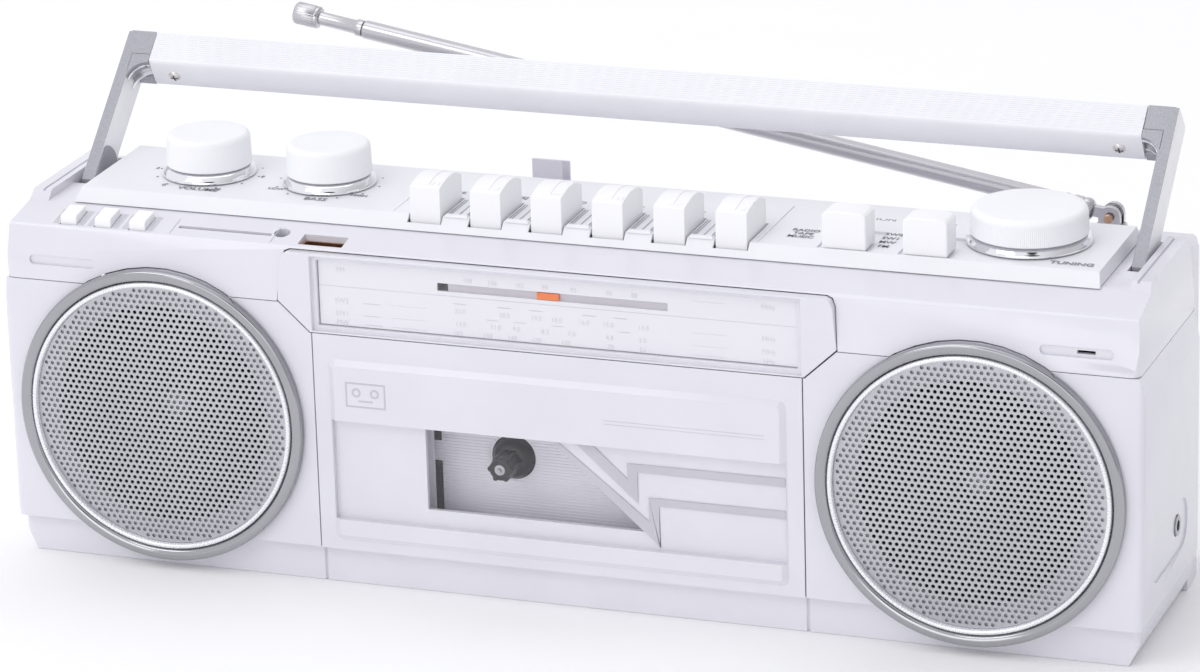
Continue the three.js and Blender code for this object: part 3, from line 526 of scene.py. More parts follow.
# ---- knobs -------------------------------------------------------------------------------
def ribbed_lathe(name, levels, ribs, rib_depth, plane, material, body):
    """Turned about the plane's own Z. levels are (radius, height, 1 where ribbed or else 0)."""
    steps = ribs * 4
    shape = bmesh.new()
    rings = []
    for i in range(steps):
        turn = 2 * math.pi * i / steps
        groove = rib_depth * (0.5 - 0.5 * math.cos(math.pi * i / 2))
        rings.append([
            shape.verts.new(plane @ Vector(((r - groove * ribbed_here) * math.cos(turn),
                                            (r - groove * ribbed_here) * math.sin(turn), z)))
            for r, z, ribbed_here in levels
        ])
    for i, ring in enumerate(rings):
        following = rings[(i + 1) % steps]
        for j in range(len(levels) - 1):
            shape.faces.new((ring[j], following[j], following[j + 1], ring[j + 1]))
    bmesh.ops.remove_doubles(shape, verts=shape.verts, dist=1e-8)
    return from_bmesh(name, shape, material, body, 50)


def knob_levels(radius, bottom, top):
    """A knob's side, its rounded shoulder and its slightly dished top."""
    edge = 1.9 * MM
    shoulder = [math.radians(90 * i / 7) for i in range(1, 8)]
    levels = [(0, bottom, 0), (radius - 0.8 * MM, bottom, 0), (radius, bottom + 0.5 * MM, 1),
              (radius - 0.25 * MM, top - edge - 0.4 * MM, 1), (radius - 0.3 * MM, top - edge, 0)]
    levels += [(radius - 0.3 * MM - edge * (1 - math.cos(t)), top - edge * (1 - math.sin(t)), 0)
               for t in shoulder]
    return levels + [(radius * 0.6, top - 0.12 * MM, 0), (0, top - 0.2 * MM, 0)]


# Each knob's number of ribs and their depth in millimetres.
KNOB_RIBS = {"volume": (150, 0.05), "bass": (150, 0.05), "tuning": (190, 0.16)}
MARKER = Vector((-7.0, -8.7, 0)) * MM
MARKER_DOT = [(0, 0.3), (1.2, 0.3), (1.1, 0.08), (0.6, 0.02), (0, 0)]
SHAFT_RADIUS, BEZEL_BORE = 2.9 * MM, 3.6 * MM
for name in KNOBS:
    low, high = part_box(f"{name}_knob")
    bezel_low, bezel_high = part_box(f"{name}_bezel")
    middle = centre_of(f"{name}_bezel")
    centre = (middle.x, middle.y)
    radius = (high.x - low.x) / 2
    ribs, rib_depth = KNOB_RIBS[name]
    levels = knob_levels(radius, bezel_high.z + 0.3 * MM, high.z)
    upright = Matrix.Translation((*centre, 0))
    cap = ribbed_lathe(f"{name}_cap", levels, ribs, rib_depth * MM, upright, "knob", f"{name}_knob")
    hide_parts(f"{name}_knob")
    shaft = [(0, low.z), (SHAFT_RADIUS, low.z), (SHAFT_RADIUS, bezel_high.z), (0, bezel_high.z)]
    lathe(f"{name}_shaft", shaft, "z", centre, "knob", f"{name}_knob", 32)
    if name != "tuning":
        dot = [(r * MM, high.z - drop * MM) for r, drop in MARKER_DOT]
        place = (centre[0] + MARKER.x, centre[1] + MARKER.y)
        marker = lathe(f"{name}_marker", dot, "z", place, "key", f"{name}_knob", 32)
    rim = (bezel_high.x - bezel_low.x) / 2
    foot = bezel_low.z
    bezel = [(BEZEL_BORE, foot), (rim, foot), (rim, foot + 0.7 * MM),
             (rim - 0.25 * MM, foot + 1.1 * MM), (rim - 0.7 * MM, foot + 1.9 * MM),
             (rim - 1.4 * MM, bezel_high.z - 0.15 * MM), (rim - 1.9 * MM, bezel_high.z),
             (BEZEL_BORE, bezel_high.z)]
    ring = lathe(f"{name}_ring", bezel, "z", centre, "bright", CABINET, 160)
    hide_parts(f"{name}_bezel")


# ---- dial --------------------------------------------------------------------------------
plate_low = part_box("dial_plate")[0]
dial_plane = facing_front(plate_low.y)
FM_SCALE = (108, 106, 102, 99, 95, 90, 88)
SHORT_WAVE_2 = ("23.0", "20.5", "19.0", "18.0", "16.0", "15.0", "13.0")
SHORT_WAVE_1 = ("13.0", "11.0", "9.0", "8.2", "7.0", "4.8", "3.0")
MEDIUM_WAVE = (160, 150, 140, 120, 100, 70, 53)
FM_X = (-29.5, -21.0, -11.7, -3.0, 6.7, 18.7, 27.2)
SW2_X = (-32.4, -17.2, -6.3, 0.6, 9.9, 18.1, 30.0)
SW1_X = (-32.3, -20.3, -13.2, -3.4, 5.6, 18.5, 29.6)
MW_X = (-33.4, -23.2, -14.7, -6.5, 3.6, 18.8, 29.6)
# Each wave band: its name, its height on the dial, its numbers, their places and its unit.
BANDS = (("FM", 108.6, FM_SCALE, FM_X, "MHz"), ("SW2", 98.0, SHORT_WAVE_2, SW2_X, "MHz"),
         ("SW1", 93.7, SHORT_WAVE_1, SW1_X, "MHz"), ("MW", 90.6, MEDIUM_WAVE, MW_X, "kHz"))
PRINT = 0.03  # how far printed lines stand out
scale_text = []
scale_lines = [(-81.2, 81.2, 102.85, 103.05, 0, PRINT)]
for band, height, numbers, places, unit in BANDS:
    scale_text += [(band, -73.4, height, 1.7), (unit, 71.8, height, 1.7)]
    scale_text += [(str(number), x, height, 1.55) for number, x in zip(numbers, places)]
    scale_lines += [(46.2, 57.8, height - 0.06, height + 0.06, 0, PRINT)]
    if band != "FM":
        scale_lines += [(-56.0, -44.0, height - 0.06, height + 0.06, 0, PRINT)]
# plain lines stand for the small print over the short wave numbers and beside the names
scale_lines += [(x - 2.2, x + 2.2, 100.4, 100.7, 0, PRINT) for x in SW2_X[:3] + (11.7, 22.2)]
scale_lines += [(x - 2.0, x + 2.0, 95.9, 96.15, 0, PRINT) for x in (-21.4, -11.9, 0.9, 23.7)]
scale_lines += [(x - 3.0, x + 3.0, z - 0.12, z + 0.12, 0, PRINT)
                for x, z in ((-63.0, 97.8), (-63.0, 93.6), (-62.5, 90.6))]
lettering("dial_scale", scale_text, dial_plane, "faint_ink", CABINET)
bars("dial_lines", scale_lines, "faint_ink", CABINET, dial_plane)
SLOT_LEFT, STOP_EDGE, SLOT_RIGHT = -40, -36.6, 38.3
SLOT_LOW, SLOT_HIGH, SLOT_FLOOR = 104.4, 107.1, -0.95
stop = [(SLOT_LEFT, STOP_EDGE, SLOT_LOW, SLOT_HIGH, -0.9, -0.86)]
track = [(SLOT_LEFT, SLOT_RIGHT, SLOT_LOW, SLOT_HIGH, SLOT_FLOOR, -0.9)]
bars("pointer_stop", stop, "black", CABINET, dial_plane)
bars("pointer_track", track, "track", CABINET, dial_plane)

# ---- cassette door -----------------------------------------------------------------------
DOOR = "cassette_door"
lens_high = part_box("door_lens")[1]
lens_edge = lens_high.x / MM - 0.3
print_plane = facing_front(lens_high.y + 0.03 * MM)
WINDOW_TOP, WINDOW_CORNER = 57.6, -2.6
WINDOW_SLOPE = (WINDOW_TOP - 29.2) / (WINDOW_CORNER - 29.1)  # of the window's slanted edge
STRIPE_FOOT = 24.4


def slant(x0, z):
    """Where a line beside the window's slanted edge, at x0 at the window's top, is at height z."""
    return x0 + (z - WINDOW_TOP) / WINDOW_SLOPE


def flat_shape(name, outline, plane, thickness, material, body):
    """A flat outline in a plane, given a thickness, as one closed piece."""
    def place(a, b, d):
        return plane @ Vector((a * MM, b * MM, d))

    return prism(name, outline, place, thickness, material, body)


stripe_low = [(WINDOW_CORNER, WINDOW_TOP), (-0.3, WINDOW_TOP), (30.7, 33.0), (30.7, 41.1),
              (lens_edge, 41.1), (lens_edge, 38.5), (34.2, 38.5), (34.2, STRIPE_FOOT),
              (slant(WINDOW_CORNER, STRIPE_FOOT), STRIPE_FOOT)]
stripe_high = [(6.0, 57.5), (11.8, 57.5), (23.7, 46.8), (23.7, 52.2), (lens_edge, 52.2),
               (lens_edge, 49.4), (27.1, 49.4), (27.1, 38.8)]
for stripe, outline in {"lower": stripe_low, "upper": stripe_high}.items():
    flat_shape(f"door_stripe_{stripe}", outline, print_plane, 0.05 * MM, "stripe", DOOR)

# ---- cassette well -----------------------------------------------------------------------
WELL_FLOOR = -35.0
HUBS = [centre_of(node) / MM for node in ("supply_spindle", "takeup_spindle")]
WELL_HALF_WIDTH = 57.2
RIB_COUNT, RIB_PITCH, LOWEST_RIB = 66, 1.05, 17.0


def rib_spans(z, left, right, holes):
    """What is left of a rib at height z once the openings, taken as round, are cut out."""
    spans = [(left, right)]
    for x, hole_z, radius in holes:
        if abs(z - hole_z) < radius:
            half = math.sqrt(radius ** 2 - (z - hole_z) ** 2)
            halves = [side for a, b in spans for side in ((a, min(b, x - half)), (max(a, x + half), b))]
            spans = [(a, b) for a, b in halves if b > a]
    return spans


well_holes = [(hub.x, hub.z, 8.2) for hub in HUBS] + [(28.5, 71.5, 3.0), (0, 79, 7.5)]
well_ribs = []
for i in range(RIB_COUNT):
    z = LOWEST_RIB + RIB_PITCH * i
    for a, b in rib_spans(z, -WELL_HALF_WIDTH, WELL_HALF_WIDTH, well_holes):
        well_ribs.append((a, b, WELL_FLOOR - 0.3, WELL_FLOOR + 0.05, z - 0.3, z + 0.3))
bars("well_ribs", well_ribs, "well", CABINET)
guide_blocks = [(-49.0, -46.2, WELL_FLOOR - 0.8, WELL_FLOOR, low, high)
                for low, high in ((22.6, 40.6), (47.8, 52.0))]
guides = round_edges(bars("well_guides", guide_blocks, "black", CABINET), 0.2 * MM)

SPINDLE_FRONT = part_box("supply_spindle")[0].y / MM
SPLINE_COUNT, SPLINE_ROOT, SPLINE_HEIGHT, SPLINE_LENGTH = 6, 3.7, 0.75, 9.6
REEL_TABLE = [(0, -39.0), (4.2, -39.0), (5.6, -38.2), (6.9, -36.4), (7.1, -33.0), (14.5, -32.6),
              (14.5, -29.4), (2, -29.4), (2, -25), (0, -25)]
SPINDLE_PIN = [(0, 0), (0.55, 0), (0.8, 0.5), (1.75, 0.6), (1.9, 1.2), (0, 1.2)]
for node in ("supply_spindle", "takeup_spindle"):
    hub = centre_of(node) / MM
    axis = (hub.x * MM, hub.z * MM)
    sides = []
    for i in range(72):
        turn = 2 * math.pi * i / 72
        # blunt splines that drive the cassette's hub
        r = SPLINE_ROOT + SPLINE_HEIGHT * max(0.0, math.cos(SPLINE_COUNT * turn)) ** 0.7
        sides.append((hub.x + r * math.cos(turn), hub.z + r * math.sin(turn)))
    plane = facing_front((SPINDLE_FRONT + 0.8) * MM)
    spline = flat_shape(f"{node}_splines", sides, plane, -SPLINE_LENGTH * MM, "hub", node)
    round_edges(spline, 0.35 * MM, 2, 50)
    base = lathe(f"{node}_table", in_metres(REEL_TABLE), "y", axis, "hub", node, 72)
    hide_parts(node)
    pin_profile = [(r, SPINDLE_FRONT + depth) for r, depth in SPINDLE_PIN]
    pin = lathe(f"{node}_pin", in_metres(pin_profile), "y", axis, "steel", node, 36)

# ---- top panel ---------------------------------------------------------------------------
panel_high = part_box("control_panel")[1]
panel_plane = facing_up(panel_high.z - 0.13 * MM)
# Each label, the place of its middle and its letters' height.
WORDS = [("VOLUME", -134.6, -22.9, 2.6), ("BASS", -92.5, -23.2, 2.6), ("TUNING", 163.5, -24.4, 2.6),
         ("FUNCTION", 88.5, 3.5, 2.6), ("BAND", 113.0, 3.5, 2.6), ("LOW", -109.5, -16.0, 1.7),
         ("HIGH", -80.0, -16.0, 1.7)]
WORDS += [(word, 73.2, y, 2.1) for word, y in (("RADIO", -13.6), ("TAPE", -16.8), ("MUSIC", -20.0))]
WORDS += [(word, 101.6, y, 2.1)
          for word, y in (("SW2", -10.6), ("SW1", -14.6), ("MW", -18.6), ("FM", -22.8))]
KEY_WORDS = ("PAUSE", "STOP/EJ", "F.FWD", "REW", "PLAY", "REC")
WORDS += [(word, centre_of(key).x / MM, -4.6, 2.2) for key, word in zip(KEYS, KEY_WORDS)]
DOT_RING, NUMBER_RING, DOT = 17.6, 19, 0.35
dots = []
for name in ("volume", "bass"):
    knob = centre_of(f"{name}_bezel") / MM
    for i in range(11):
        turn = math.radians(240 - 30 * i)
        x, y = knob.x + DOT_RING * math.cos(turn), knob.y + DOT_RING * math.sin(turn)
        dots.append((x - DOT, x + DOT, y - DOT, y + DOT, 0, 0.04))
        if name == "volume" and i % 2 == 0:
            place = (knob.x + NUMBER_RING * math.cos(turn), knob.y + NUMBER_RING * math.sin(turn))
            WORDS.append((str(i), *place, 1.9))
lettering("panel_labels", WORDS, panel_plane, "ink", CABINET, 0.05 * MM)
bars("panel_ticks", dots, "ink", CABINET, panel_plane)

key_xs = [centre_of(key).x / MM for key in KEYS]
gaps = [(a + 6.2, b - 6.2) for a, b in zip(key_xs, key_xs[1:])]
LIP_Y, LIP_Z, LIP_HEIGHT, LIP_INSET = -28.9, 122.75, 0.95, 0.7
lip_shape = [(-0.9, 0), (-0.4, 0.75), (0.2, LIP_HEIGHT), (1.0, 0.85), (1.6, 0)]
for i, (a, b) in enumerate(gaps):
    def lip_place(u, v, d, a=a, b=b):
        """A point of the lip's section at the left end (d = 0) or the right, drawn in higher up."""
        inset = LIP_INSET * MM * (v / LIP_HEIGHT)
        x = a * MM + inset if d == 0 else b * MM - inset
        return Vector((x, (LIP_Y + u) * MM, (LIP_Z + v) * MM))

    lip = prism(f"key_lip_{i + 1}", lip_shape, lip_place, 1, "panel", CABINET)
    round_edges(lip, 0.15 * MM)
# Grey strips stand for the grooves between the keys; their grey is painted shade.
score_lines = [(x - 0.1, x + 0.1, -27.0, -11.5, -0.15, 0.14)
               for a, b in gaps for x in (a + 0.6, a + 1.5, b - 0.6, b - 1.5, (a + b) / 2)]
bars("key_score_lines", score_lines, "score", CABINET, panel_plane)

KEY_CREST = [(-28.3, 132.75), (-27, 133.1), (-22, 134), (-17, 133.9), (-13, 132.8), (-11.2, 131.9)]
STRIP_WIDTH, STRIP_LEFT = 2.2, -1.2
strip_section = [(y, z + 0.22) for y, z in KEY_CREST] + [(y, z - 0.4) for y, z in reversed(KEY_CREST)]
for key in KEYS:
    x = centre_of(key).x

    def strip_place(y, z, d, x=x):
        return Vector((x + STRIP_LEFT * MM + d, y * MM, z * MM))

    strip = prism(f"{key}_strip", strip_section, strip_place, STRIP_WIDTH * MM, "key", key)
    round_edges(strip, 0.08 * MM)

SYMBOLS = {
    "pause_key": [[(-1.3, -1), (-0.5, -1), (-0.5, 1), (-1.3, 1)],
                  [(0.5, -1), (1.3, -1), (1.3, 1), (0.5, 1)]],
    "stop_key": [[(-1, -1), (1, -1), (1, 1), (-1, 1)]],
    "forward_key": [[(-1.6, -1), (0, 0), (-1.6, 1)], [(0.1, -1), (1.7, 0), (0.1, 1)]],
    "rewind_key": [[(1.6, -1), (1.6, 1), (0, 0)], [(-0.1, -1), (-0.1, 1), (-1.7, 0)]],
    "play_key": [[(-0.9, -1.1), (1.1, 0), (-0.9, 1.1)]],
    "record_key": [circle(1.1, [22.5 * i for i in range(16)])],
}
KEY_TOP_TILT = math.radians(16)
for key, outlines in SYMBOLS.items():
    x = centre_of(key).x / MM
    tilt = Matrix.Rotation(KEY_TOP_TILT, 4, "X")
    plane = Matrix.Translation(Vector((x + 2.9, -27.2, 133.05)) * MM) @ tilt
    symbols = [flat_shape(f"{key}_symbol_{i}", outline, plane, 0.2 * MM, "key", key)
               for i, outline in enumerate(outlines)]
    symbol = join_pieces(f"{key}_symbol", symbols) if len(symbols) > 1 else symbols[0]

SHELF_FRONT, SHELF_BACK = (-48.2, 115), (-33.7, 118.1)  # (y, z) of the shelf's two edges
shelf_slope = math.atan2(SHELF_BACK[1] - SHELF_FRONT[1], SHELF_BACK[0] - SHELF_FRONT[0])
shelf_plane = Matrix.Translation(Vector((0, *SHELF_FRONT)) * MM) @ Matrix.Rotation(shelf_slope, 4, "X")
button_xs = [centre_of(button).x / MM for button in BUTTONS]
# Grey strips stand for the shelf's grooves; their grey is painted shade.
shelf_lines = [(x + side * offset - 0.11, x + side * offset + 0.11, 1.2, 10.6, -0.1, 0.1)
               for x in button_xs for side in (-1, 1) for offset in (3.9, 4.6, 5.3)]
shelf_lines += [(-134.6, -134.3, 1, 10.5, -0.1, 0.08), (-98.9, -98.6, 1, 10.5, -0.1, 0.08)]
bars("shelf_score_lines", shelf_lines, "score", CABINET, shelf_plane)


# A small tape pictogram and a thin double line stand where the original carries its marks.
door_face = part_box("cassette_door")[0].y
mark_plane = facing_front(door_face)


def frame_outline(a0, a1, b0, b1, width):
    """The four bars of a rectangular frame."""
    return [(a0, a1, b0, b0 + width, 0, PRINT), (a0, a1, b1 - width, b1, 0, PRINT),
            (a0, a0 + width, b0 + width, b1 - width, 0, PRINT),
            (a1 - width, a1, b0 + width, b1 - width, 0, PRINT)]


tape_bars = frame_outline(-72, -58, 63.2, 71.8, 0.6) + [(-67.5, -62.5, 65.2, 65.8, 0, PRINT)]
tape_bars += [(17, 71, z, z + 0.2, 0, PRINT) for z in (66.9, 65.7)]
bars("door_marks", tape_bars, "stripe", DOOR, mark_plane)
for i, x in enumerate((-68.2, -61.8)):
    hub_mark = [(r * MM, door_face + y * MM)
                for r, y in ((0.9, 0.01), (1.6, 0.01), (1.6, -0.03), (0.9, -0.03))]
    ring = lathe(f"door_hub_mark_{i + 1}", hub_mark, "y", (x * MM, 68.3 * MM), "stripe", DOOR, 32)

# ---- handle ------------------------------------------------------------------------------
HANDLE = "handle"
HANDLE_LEAN = math.radians(42)
HANDLE_PIN_Z = 118
ARM_LENGTH, ARM_INNER = 52.3, 179.0
GRIP_START, GRIP_END = 40.4, 172.6
HANDLE_FACE = 7.4
handle_plane = Matrix.Translation((0, 0, HANDLE_PIN_Z * MM)) @ Matrix.Rotation(HANDLE_LEAN, 4, "X")


def handle_prism(name, outline, x0, x1, material):
    """An outline of (y, z) in the handle's own frame, drawn out from x0 to x1 (millimetres)."""
    def place(y, z, d):
        return handle_plane @ (Vector((x0 + d, y, z)) * MM)

    return prism(name, outline, place, x1 - x0, material, HANDLE)


GROOVE_COUNT, GROOVE_PITCH, GROOVE_HALF, GROOVE_DEPTH = 13, 0.78, 0.14, 0.16
grip = [(GRIP_START + 0.9, HANDLE_FACE)]
for i in range(GROOVE_COUNT):
    y = GRIP_START + 1.5 + GROOVE_PITCH * i
    grip += [(y, HANDLE_FACE), (y + GROOVE_HALF, HANDLE_FACE - GROOVE_DEPTH),
             (y + 2 * GROOVE_HALF, HANDLE_FACE)]
grip += [(ARM_LENGTH - 0.2, HANDLE_FACE), (ARM_LENGTH, HANDLE_FACE - 0.3), (ARM_LENGTH + 0.1, -2.8),
         (ARM_LENGTH - 0.5, -4.0), (ARM_LENGTH - 2, -4.6), (GRIP_START - 0.4, -4.6),
         (GRIP_START - 1.5, -4.2), (GRIP_START - 2, -3.2), (GRIP_START - 0.1, 6.0),
         (GRIP_START + 0.3, 7.0)]
bar = handle_prism("handle_bar", grip, -GRIP_END, GRIP_END, "grip")
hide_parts("handle_grip")

# The web where the grip meets an arm, in layers: the radius of its hollow, front, back,
# material and slot.
# The darker steel of the web, between the bright rims, is a painted dark band of the polished corner's
# reflection; the web also sits deeper in the hollow.
CORNER_LAYERS = {
    "plate": (6.3, 7.38, 5.9, "silver", "silver_paint"),
    "rim_front": (6.0, 5.85, 5.0, "bright", "bright_metal"),
    "web": (7.3, 4.95, 0.65, "steel", "bright_metal"),
    "rim_back": (6.0, 0.6, -0.4, "bright", "bright_metal"),
}


def cross_bars(half_length, half_width, low, high):
    """The two bars of a screw head's cross."""
    return [(-half_length, half_length, -half_width, half_width, low, high),
            (-half_width, half_width, -half_length, half_length, low, high)]


def corner_outline(radius):
    """A square corner with a round hollow, in the plane across the handle."""
    inner, outer, top = GRIP_END + 0.1, ARM_INNER + 0.4, GRIP_START + 2.9
    middle = GRIP_START - 6.6
    hollow = circle(radius, [7.5 * i for i in range(13)])
    arc = [(min(inner + x, outer - 0.1), middle + y) for x, y in hollow]
    return [(outer, middle)] + arc + [(inner, top), (outer, top)]


BOSS_RADIUS, BOSS_HEIGHT = 9.4, 0.45
boss = [(y, min(z, HANDLE_FACE - 1)) for y, z in circle(BOSS_RADIUS, range(0, 360, 12))]
# The screw's axis, its head's end and its section; its cross is two black bars of painted recess shade.
SCREW_X, SCREW_Z = 164.7, 0.6
HEAD_END = -(GRIP_START - 1.9)
SCREW_SECTION = [(0, 0), (0.9, 0), (1.7, 0.25), (2.25, 0.8), (2.25, 1.4), (1.25, 1.5), (1.25, 7), (0, 7)]
CROSS_HALF_LENGTH, CROSS_HALF_WIDTH = 1.35, 0.28
for side, sign in (("left", -1), ("right", 1)):
    arm = bpy.data.objects[f"handle_arm_{side}_finished"]
    arm.data.materials.append(MATERIALS["brushed"])
    for face in arm.data.polygons:
        if abs(face.normal.x) > 0.9:
            face.material_index = 1

    for layer, (radius, z_front, z_back, material, slot) in CORNER_LAYERS.items():
        def corner_place(x, y, d, sign=sign, z_front=z_front):
            return handle_plane @ (Vector((sign * x, y, z_front - d)) * MM)

        corner = prism(f"handle_corner_{layer}_{side}", corner_outline(radius), corner_place,
                       z_front - z_back, material, HANDLE)
        round_edges(corner, 0.12 * MM, 2, 50)

    inner = sign * ARM_INNER
    boss_piece = handle_prism(f"handle_boss_{side}", boss, inner - sign * BOSS_HEIGHT, inner, "silver")
    round_edges(boss_piece, 0.2 * MM, 2, 50)

    screw_plane = (handle_plane @ Matrix.Translation(Vector((sign * SCREW_X, 0, SCREW_Z)) * MM)
                   @ Matrix.Rotation(math.radians(90), 4, "X"))
    levels = smooth_levels([(r, HEAD_END - depth) for r, depth in SCREW_SECTION])
    screw = ribbed_lathe(f"handle_screw_head_{side}", levels, 12, 0, screw_plane, "screw", HANDLE)
    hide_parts(f"handle_screw_{side}")
    # Black bars on the head where its cross recess would be dark: painted shade.
    cross = cross_bars(CROSS_HALF_LENGTH, CROSS_HALF_WIDTH, HEAD_END - 0.3, HEAD_END + 0.03)
    bars(f"handle_screw_cross_shade_{side}", cross, "black", HANDLE, screw_plane)

# ---- antenna -----------------------------------------------------------------------------
PIVOT = Vector((157.7, 46.0, 116.8)) * MM
ANTENNA_RISE = math.radians(9.7)
tilted = Matrix.Translation(PIVOT) @ Matrix.Rotation(ANTENNA_RISE, 4, "Y")
along_mast = tilted @ Matrix.Rotation(math.radians(-90), 4, "Y")
MAST_END = 263.0
mast_section = [(0, 6), (2.4, 6), (3.2, 6.7), (3.7, 7.6), (3.7, 9.2), (3.4, 9.4), (3.4, 9.8),
                (3.7, 10.0), (3.7, 12.6), (3.35, 13.0), (3.35, 14.6), (3.6, 14.8), (3.6, 16.0),
                (3.15, 16.4), (3.15, MAST_END - 0.7), (2.95, MAST_END), (2.6, MAST_END),
                (2.6, 200), (0, 200)]
mast = ribbed_lathe("antenna_tube", smooth_levels(mast_section), 14, 0, along_mast, "tube",
                    "antenna_mast")
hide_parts("antenna_mast")
eye_outline = circle(2.9, range(-142, 143, 20)) + [(-8, 1.8), (-8, -1.8)]
EYE_THICKNESS = 2.4


def eye_place(x, z, d):
    return tilted @ Vector((x * MM, d - EYE_THICKNESS / 2 * MM, z * MM))


eye = prism("antenna_eye", eye_outline, eye_place, EYE_THICKNESS * MM, "tube", "antenna_mast")
round_edges(eye, 0.3 * MM)
# The inner tube and its knurled tip: radius, height past the mast's end, 1 where knurled.
ROD_TIP = [(2.3, 0.3, 0), (2.8, 0.5, 0), (2.85, 1.4, 0), (2.8, 2.8, 0), (2.3, 3.3, 0), (2.3, 16.2, 0),
           (3.4, 16.4, 0), (3.75, 16.9, 0), (3.75, 17.7, 0), (3.5, 17.9, 0), (3.8, 18.2, 1),
           (3.8, 24.5, 1), (3.3, 25.2, 0), (0, 25.4, 0)]
rod_levels = [(0, 190, 0), (2.3, 190, 0)] + [(r, MAST_END + h, knurled) for r, h, knurled in ROD_TIP]
rod = ribbed_lathe("antenna_inner", [(r * MM, z * MM, k) for r, z, k in rod_levels], 34, 0.12 * MM,
                   along_mast, "tube", "antenna_rod")
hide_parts("antenna_rod")
pin_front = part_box("antenna_swivel")[0].y
PIN_SECTION = [(0, -0.25), (1.0, -0.2), (1.5, 0.1), (1.5, 0.6), (0, 0.6)]
pin_profile = [(r * MM, pin_front + y * MM) for r, y in PIN_SECTION]
pin = lathe("antenna_pin", pin_profile, "y", (PIVOT.x, PIVOT.z), "copper", "antenna_swivel", 32)

# ---- sockets and the back ----------------------------------------------------------------
JACK_Y, JACK_Z = -7.5, 32.6
side_plane = (Matrix.Translation((0, JACK_Y * MM, JACK_Z * MM))
              @ Matrix.Rotation(math.radians(90), 4, "Y"))
collar = [(1.8, 192.6), (3.0, 192.6), (3.3, 193.1), (3.2, 193.6), (2.5, 193.75), (1.8, 193.5)]
levels = smooth_levels(collar + collar[:1])
jack_ring = ribbed_lathe("headphone_collar", levels, 16, 0, side_plane, "bright", CABINET)

BACK = 52.0  # the casing's back face
back_plane = Matrix.Translation((0, BACK * MM, 0)) @ Matrix.Rotation(math.radians(-90), 4, "X")
VENT_XS = [side * (100 + 5 * i) for side in (-1, 1) for i in range(10)]
# Black strips stand for the vent openings: painted shade of the dark inside, as no openings are cut.
vent_shade_strips = [(x - 1.0, x + 1.0, -88, -48, -0.2, 0.03) for x in VENT_XS]
louvres = [(x - 2.1, x - 1.0, -88.6, -47.4, -0.2, 0.32) for x in VENT_XS]
bars("back_vent_shade", vent_shade_strips, "black", CABINET, back_plane)
bars("back_louvres", louvres, "rear", CABINET, back_plane)
BACK_SCREWS = [(x, z) for x in (-165, 165) for z in (22, 96)] + [(-70, 96), (70, 96)]
SCREW_HEAD = [(0, 0.36), (1.5, 0.33), (2.6, 0.12), (2.9, -0.4), (0, -0.4)]
for i, (x, z) in enumerate(BACK_SCREWS):
    place = back_plane @ Matrix.Translation(Vector((x, -z, 0)) * MM)
    screw = ribbed_lathe(f"back_screw_{i + 1}", smooth_levels(SCREW_HEAD), 12, 0, place, "screw",
                         CABINET)
    # Each head's cross is two black bars: painted shade of its recess.
    cross = cross_bars(1.5, 0.28, 0, 0.38)
    bars(f"back_screw_cross_shade_{i + 1}", cross, "black", CABINET, place)


# ---- floor, light and camera -------------------------------------------------------------
floor_shape = bmesh.new()
bmesh.ops.create_grid(floor_shape, x_segments=2, y_segments=2, size=12)
floor_mesh = bpy.data.meshes.new("floor")
floor_shape.to_mesh(floor_mesh)
floor_shape.free()
floor = bpy.data.objects.new("floor", floor_mesh)
bpy.context.scene.collection.objects.link(floor)
paper = surface("floor_paper", (1.0, 1.0, 0.995), 0.9, specular=0.1, grain=300, mottle=0.005)
floor_mesh.materials.append(paper)


def softbox(name, position, target, size, power):
    """A rectangular area light that faces target."""
    light = bpy.data.lights.new(name, "AREA")
    light.shape = "RECTANGLE"
    light.size, light.size_y = size
    light.energy = power
    lamp = bpy.data.objects.new(name, light)
    lamp.location = position
    lamp.rotation_euler = (Vector(target) - Vector(position)).to_track_quat("-Z", "Y").to_euler()
    bpy.context.scene.collection.objects.link(lamp)


softbox("key_light", (-1.0, -1.6, 1.9), (0, 0, 0.05), (1.4, 1.0), 8)
softbox("fill_light", (-0.1, -2.1, 0.45), (0, 0, 0.06), (1.6, 0.6), 3.5)
softbox("top_light", (-0.2, 0.3, 2.0), (0, 0, 0.1), (1.8, 1.2), 5)

world = bpy.data.worlds.new("studio")
bpy.context.scene.world = world
world.use_nodes = True
world_tree = world.node_tree
background = world_tree.nodes["Background"]
direction = world_tree.nodes.new("ShaderNodeTexCoord").outputs["Generated"]


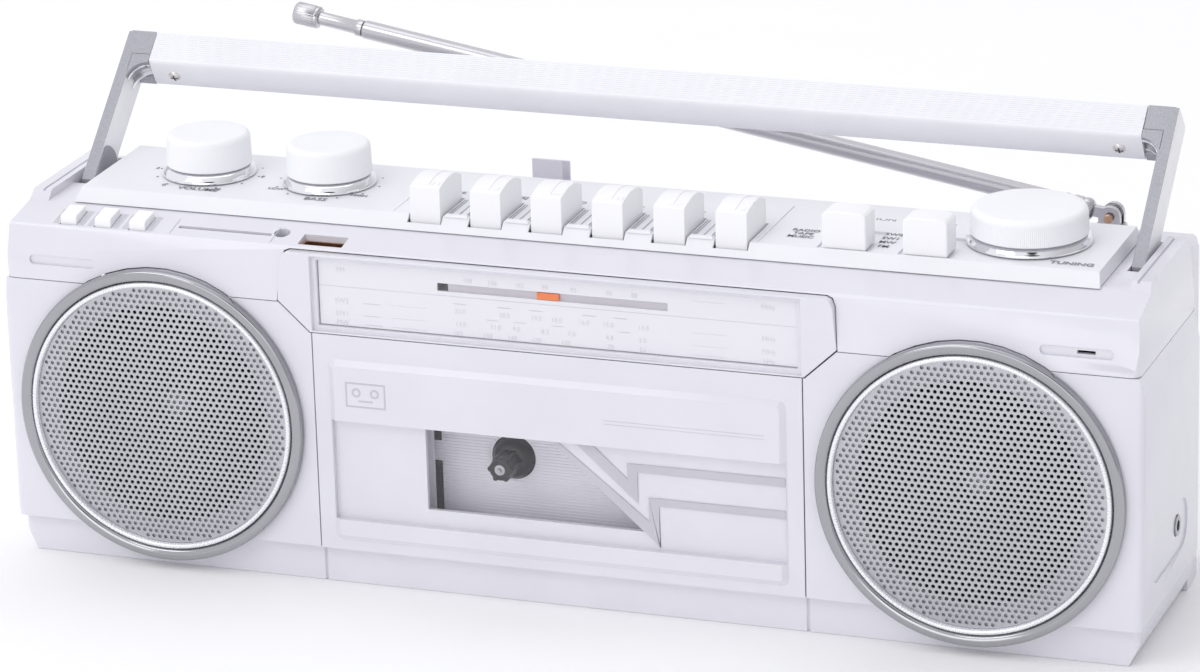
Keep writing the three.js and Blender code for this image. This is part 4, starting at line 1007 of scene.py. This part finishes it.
def facing(towards):
    """How nearly a direction of the sky points towards a given one: 1 where they agree."""
    product = world_tree.nodes.new("ShaderNodeVectorMath")
    product.operation = "DOT_PRODUCT"
    product.inputs[1].default_value = towards
    world_tree.links.new(direction, product.inputs[0])
    return product.outputs["Value"]


# A dark flag above the front, a little to the right, gives the bright metal a dark reflection.
FLAG = Vector((0.30, -0.80, 0.52)).normalized()
sky = world_tree.nodes.new("ShaderNodeValToRGB")
sky.color_ramp.elements[0].position = 0.970
sky.color_ramp.elements[0].color = (0.96, 0.96, 1.0, 1)
sky.color_ramp.elements[1].position = 0.982
sky.color_ramp.elements[1].color = (0.02, 0.02, 0.025, 1)
world_tree.links.new(facing(FLAG), sky.inputs["Fac"])
world_tree.links.new(sky.outputs["Color"], background.inputs["Color"])

# The right-hand side of the studio is dimmer, which shades the object's right side.
SHADED_SIDE = Vector((1.0, 0.25, 0.1)).normalized()
shading = world_tree.nodes.new("ShaderNodeMapRange")
shading.inputs["From Min"].default_value = 0.1
shading.inputs["From Max"].default_value = 0.9
shading.inputs["To Min"].default_value = 1.0
shading.inputs["To Max"].default_value = 0.6
world_tree.links.new(facing(SHADED_SIDE), shading.inputs["Value"])
world_tree.links.new(shading.outputs["Result"], background.inputs["Strength"])

bpy.context.scene.view_settings.view_transform = "Standard"

AZIMUTH, ELEVATION, ROLL = (math.radians(a) for a in (20.43, 18.94, -1.688))
TARGET = Vector((10.7, -37.2, 89.6)) * MM
DISTANCE = 1.7444
back = Vector((
    math.sin(AZIMUTH) * math.cos(ELEVATION),
    -math.cos(AZIMUTH) * math.cos(ELEVATION),
    math.sin(ELEVATION),
))
right = back.cross(Vector((0, 0, -1))).normalized()
up = back.cross(right)
tilted_right = math.cos(ROLL) * right + math.sin(ROLL) * up
tilted_up = math.cos(ROLL) * up - math.sin(ROLL) * right
camera = bpy.data.objects.new("camera", bpy.data.cameras.new("camera"))
camera.data.sensor_width = 36
camera.data.lens = 163.17
camera.data.clip_start = 0.01
camera.matrix_world = Matrix.Translation(TARGET + back * DISTANCE) @ Matrix(
    (tilted_right, tilted_up, back)
).transposed().to_4x4()
bpy.context.scene.collection.objects.link(camera)
bpy.context.scene.camera = camera
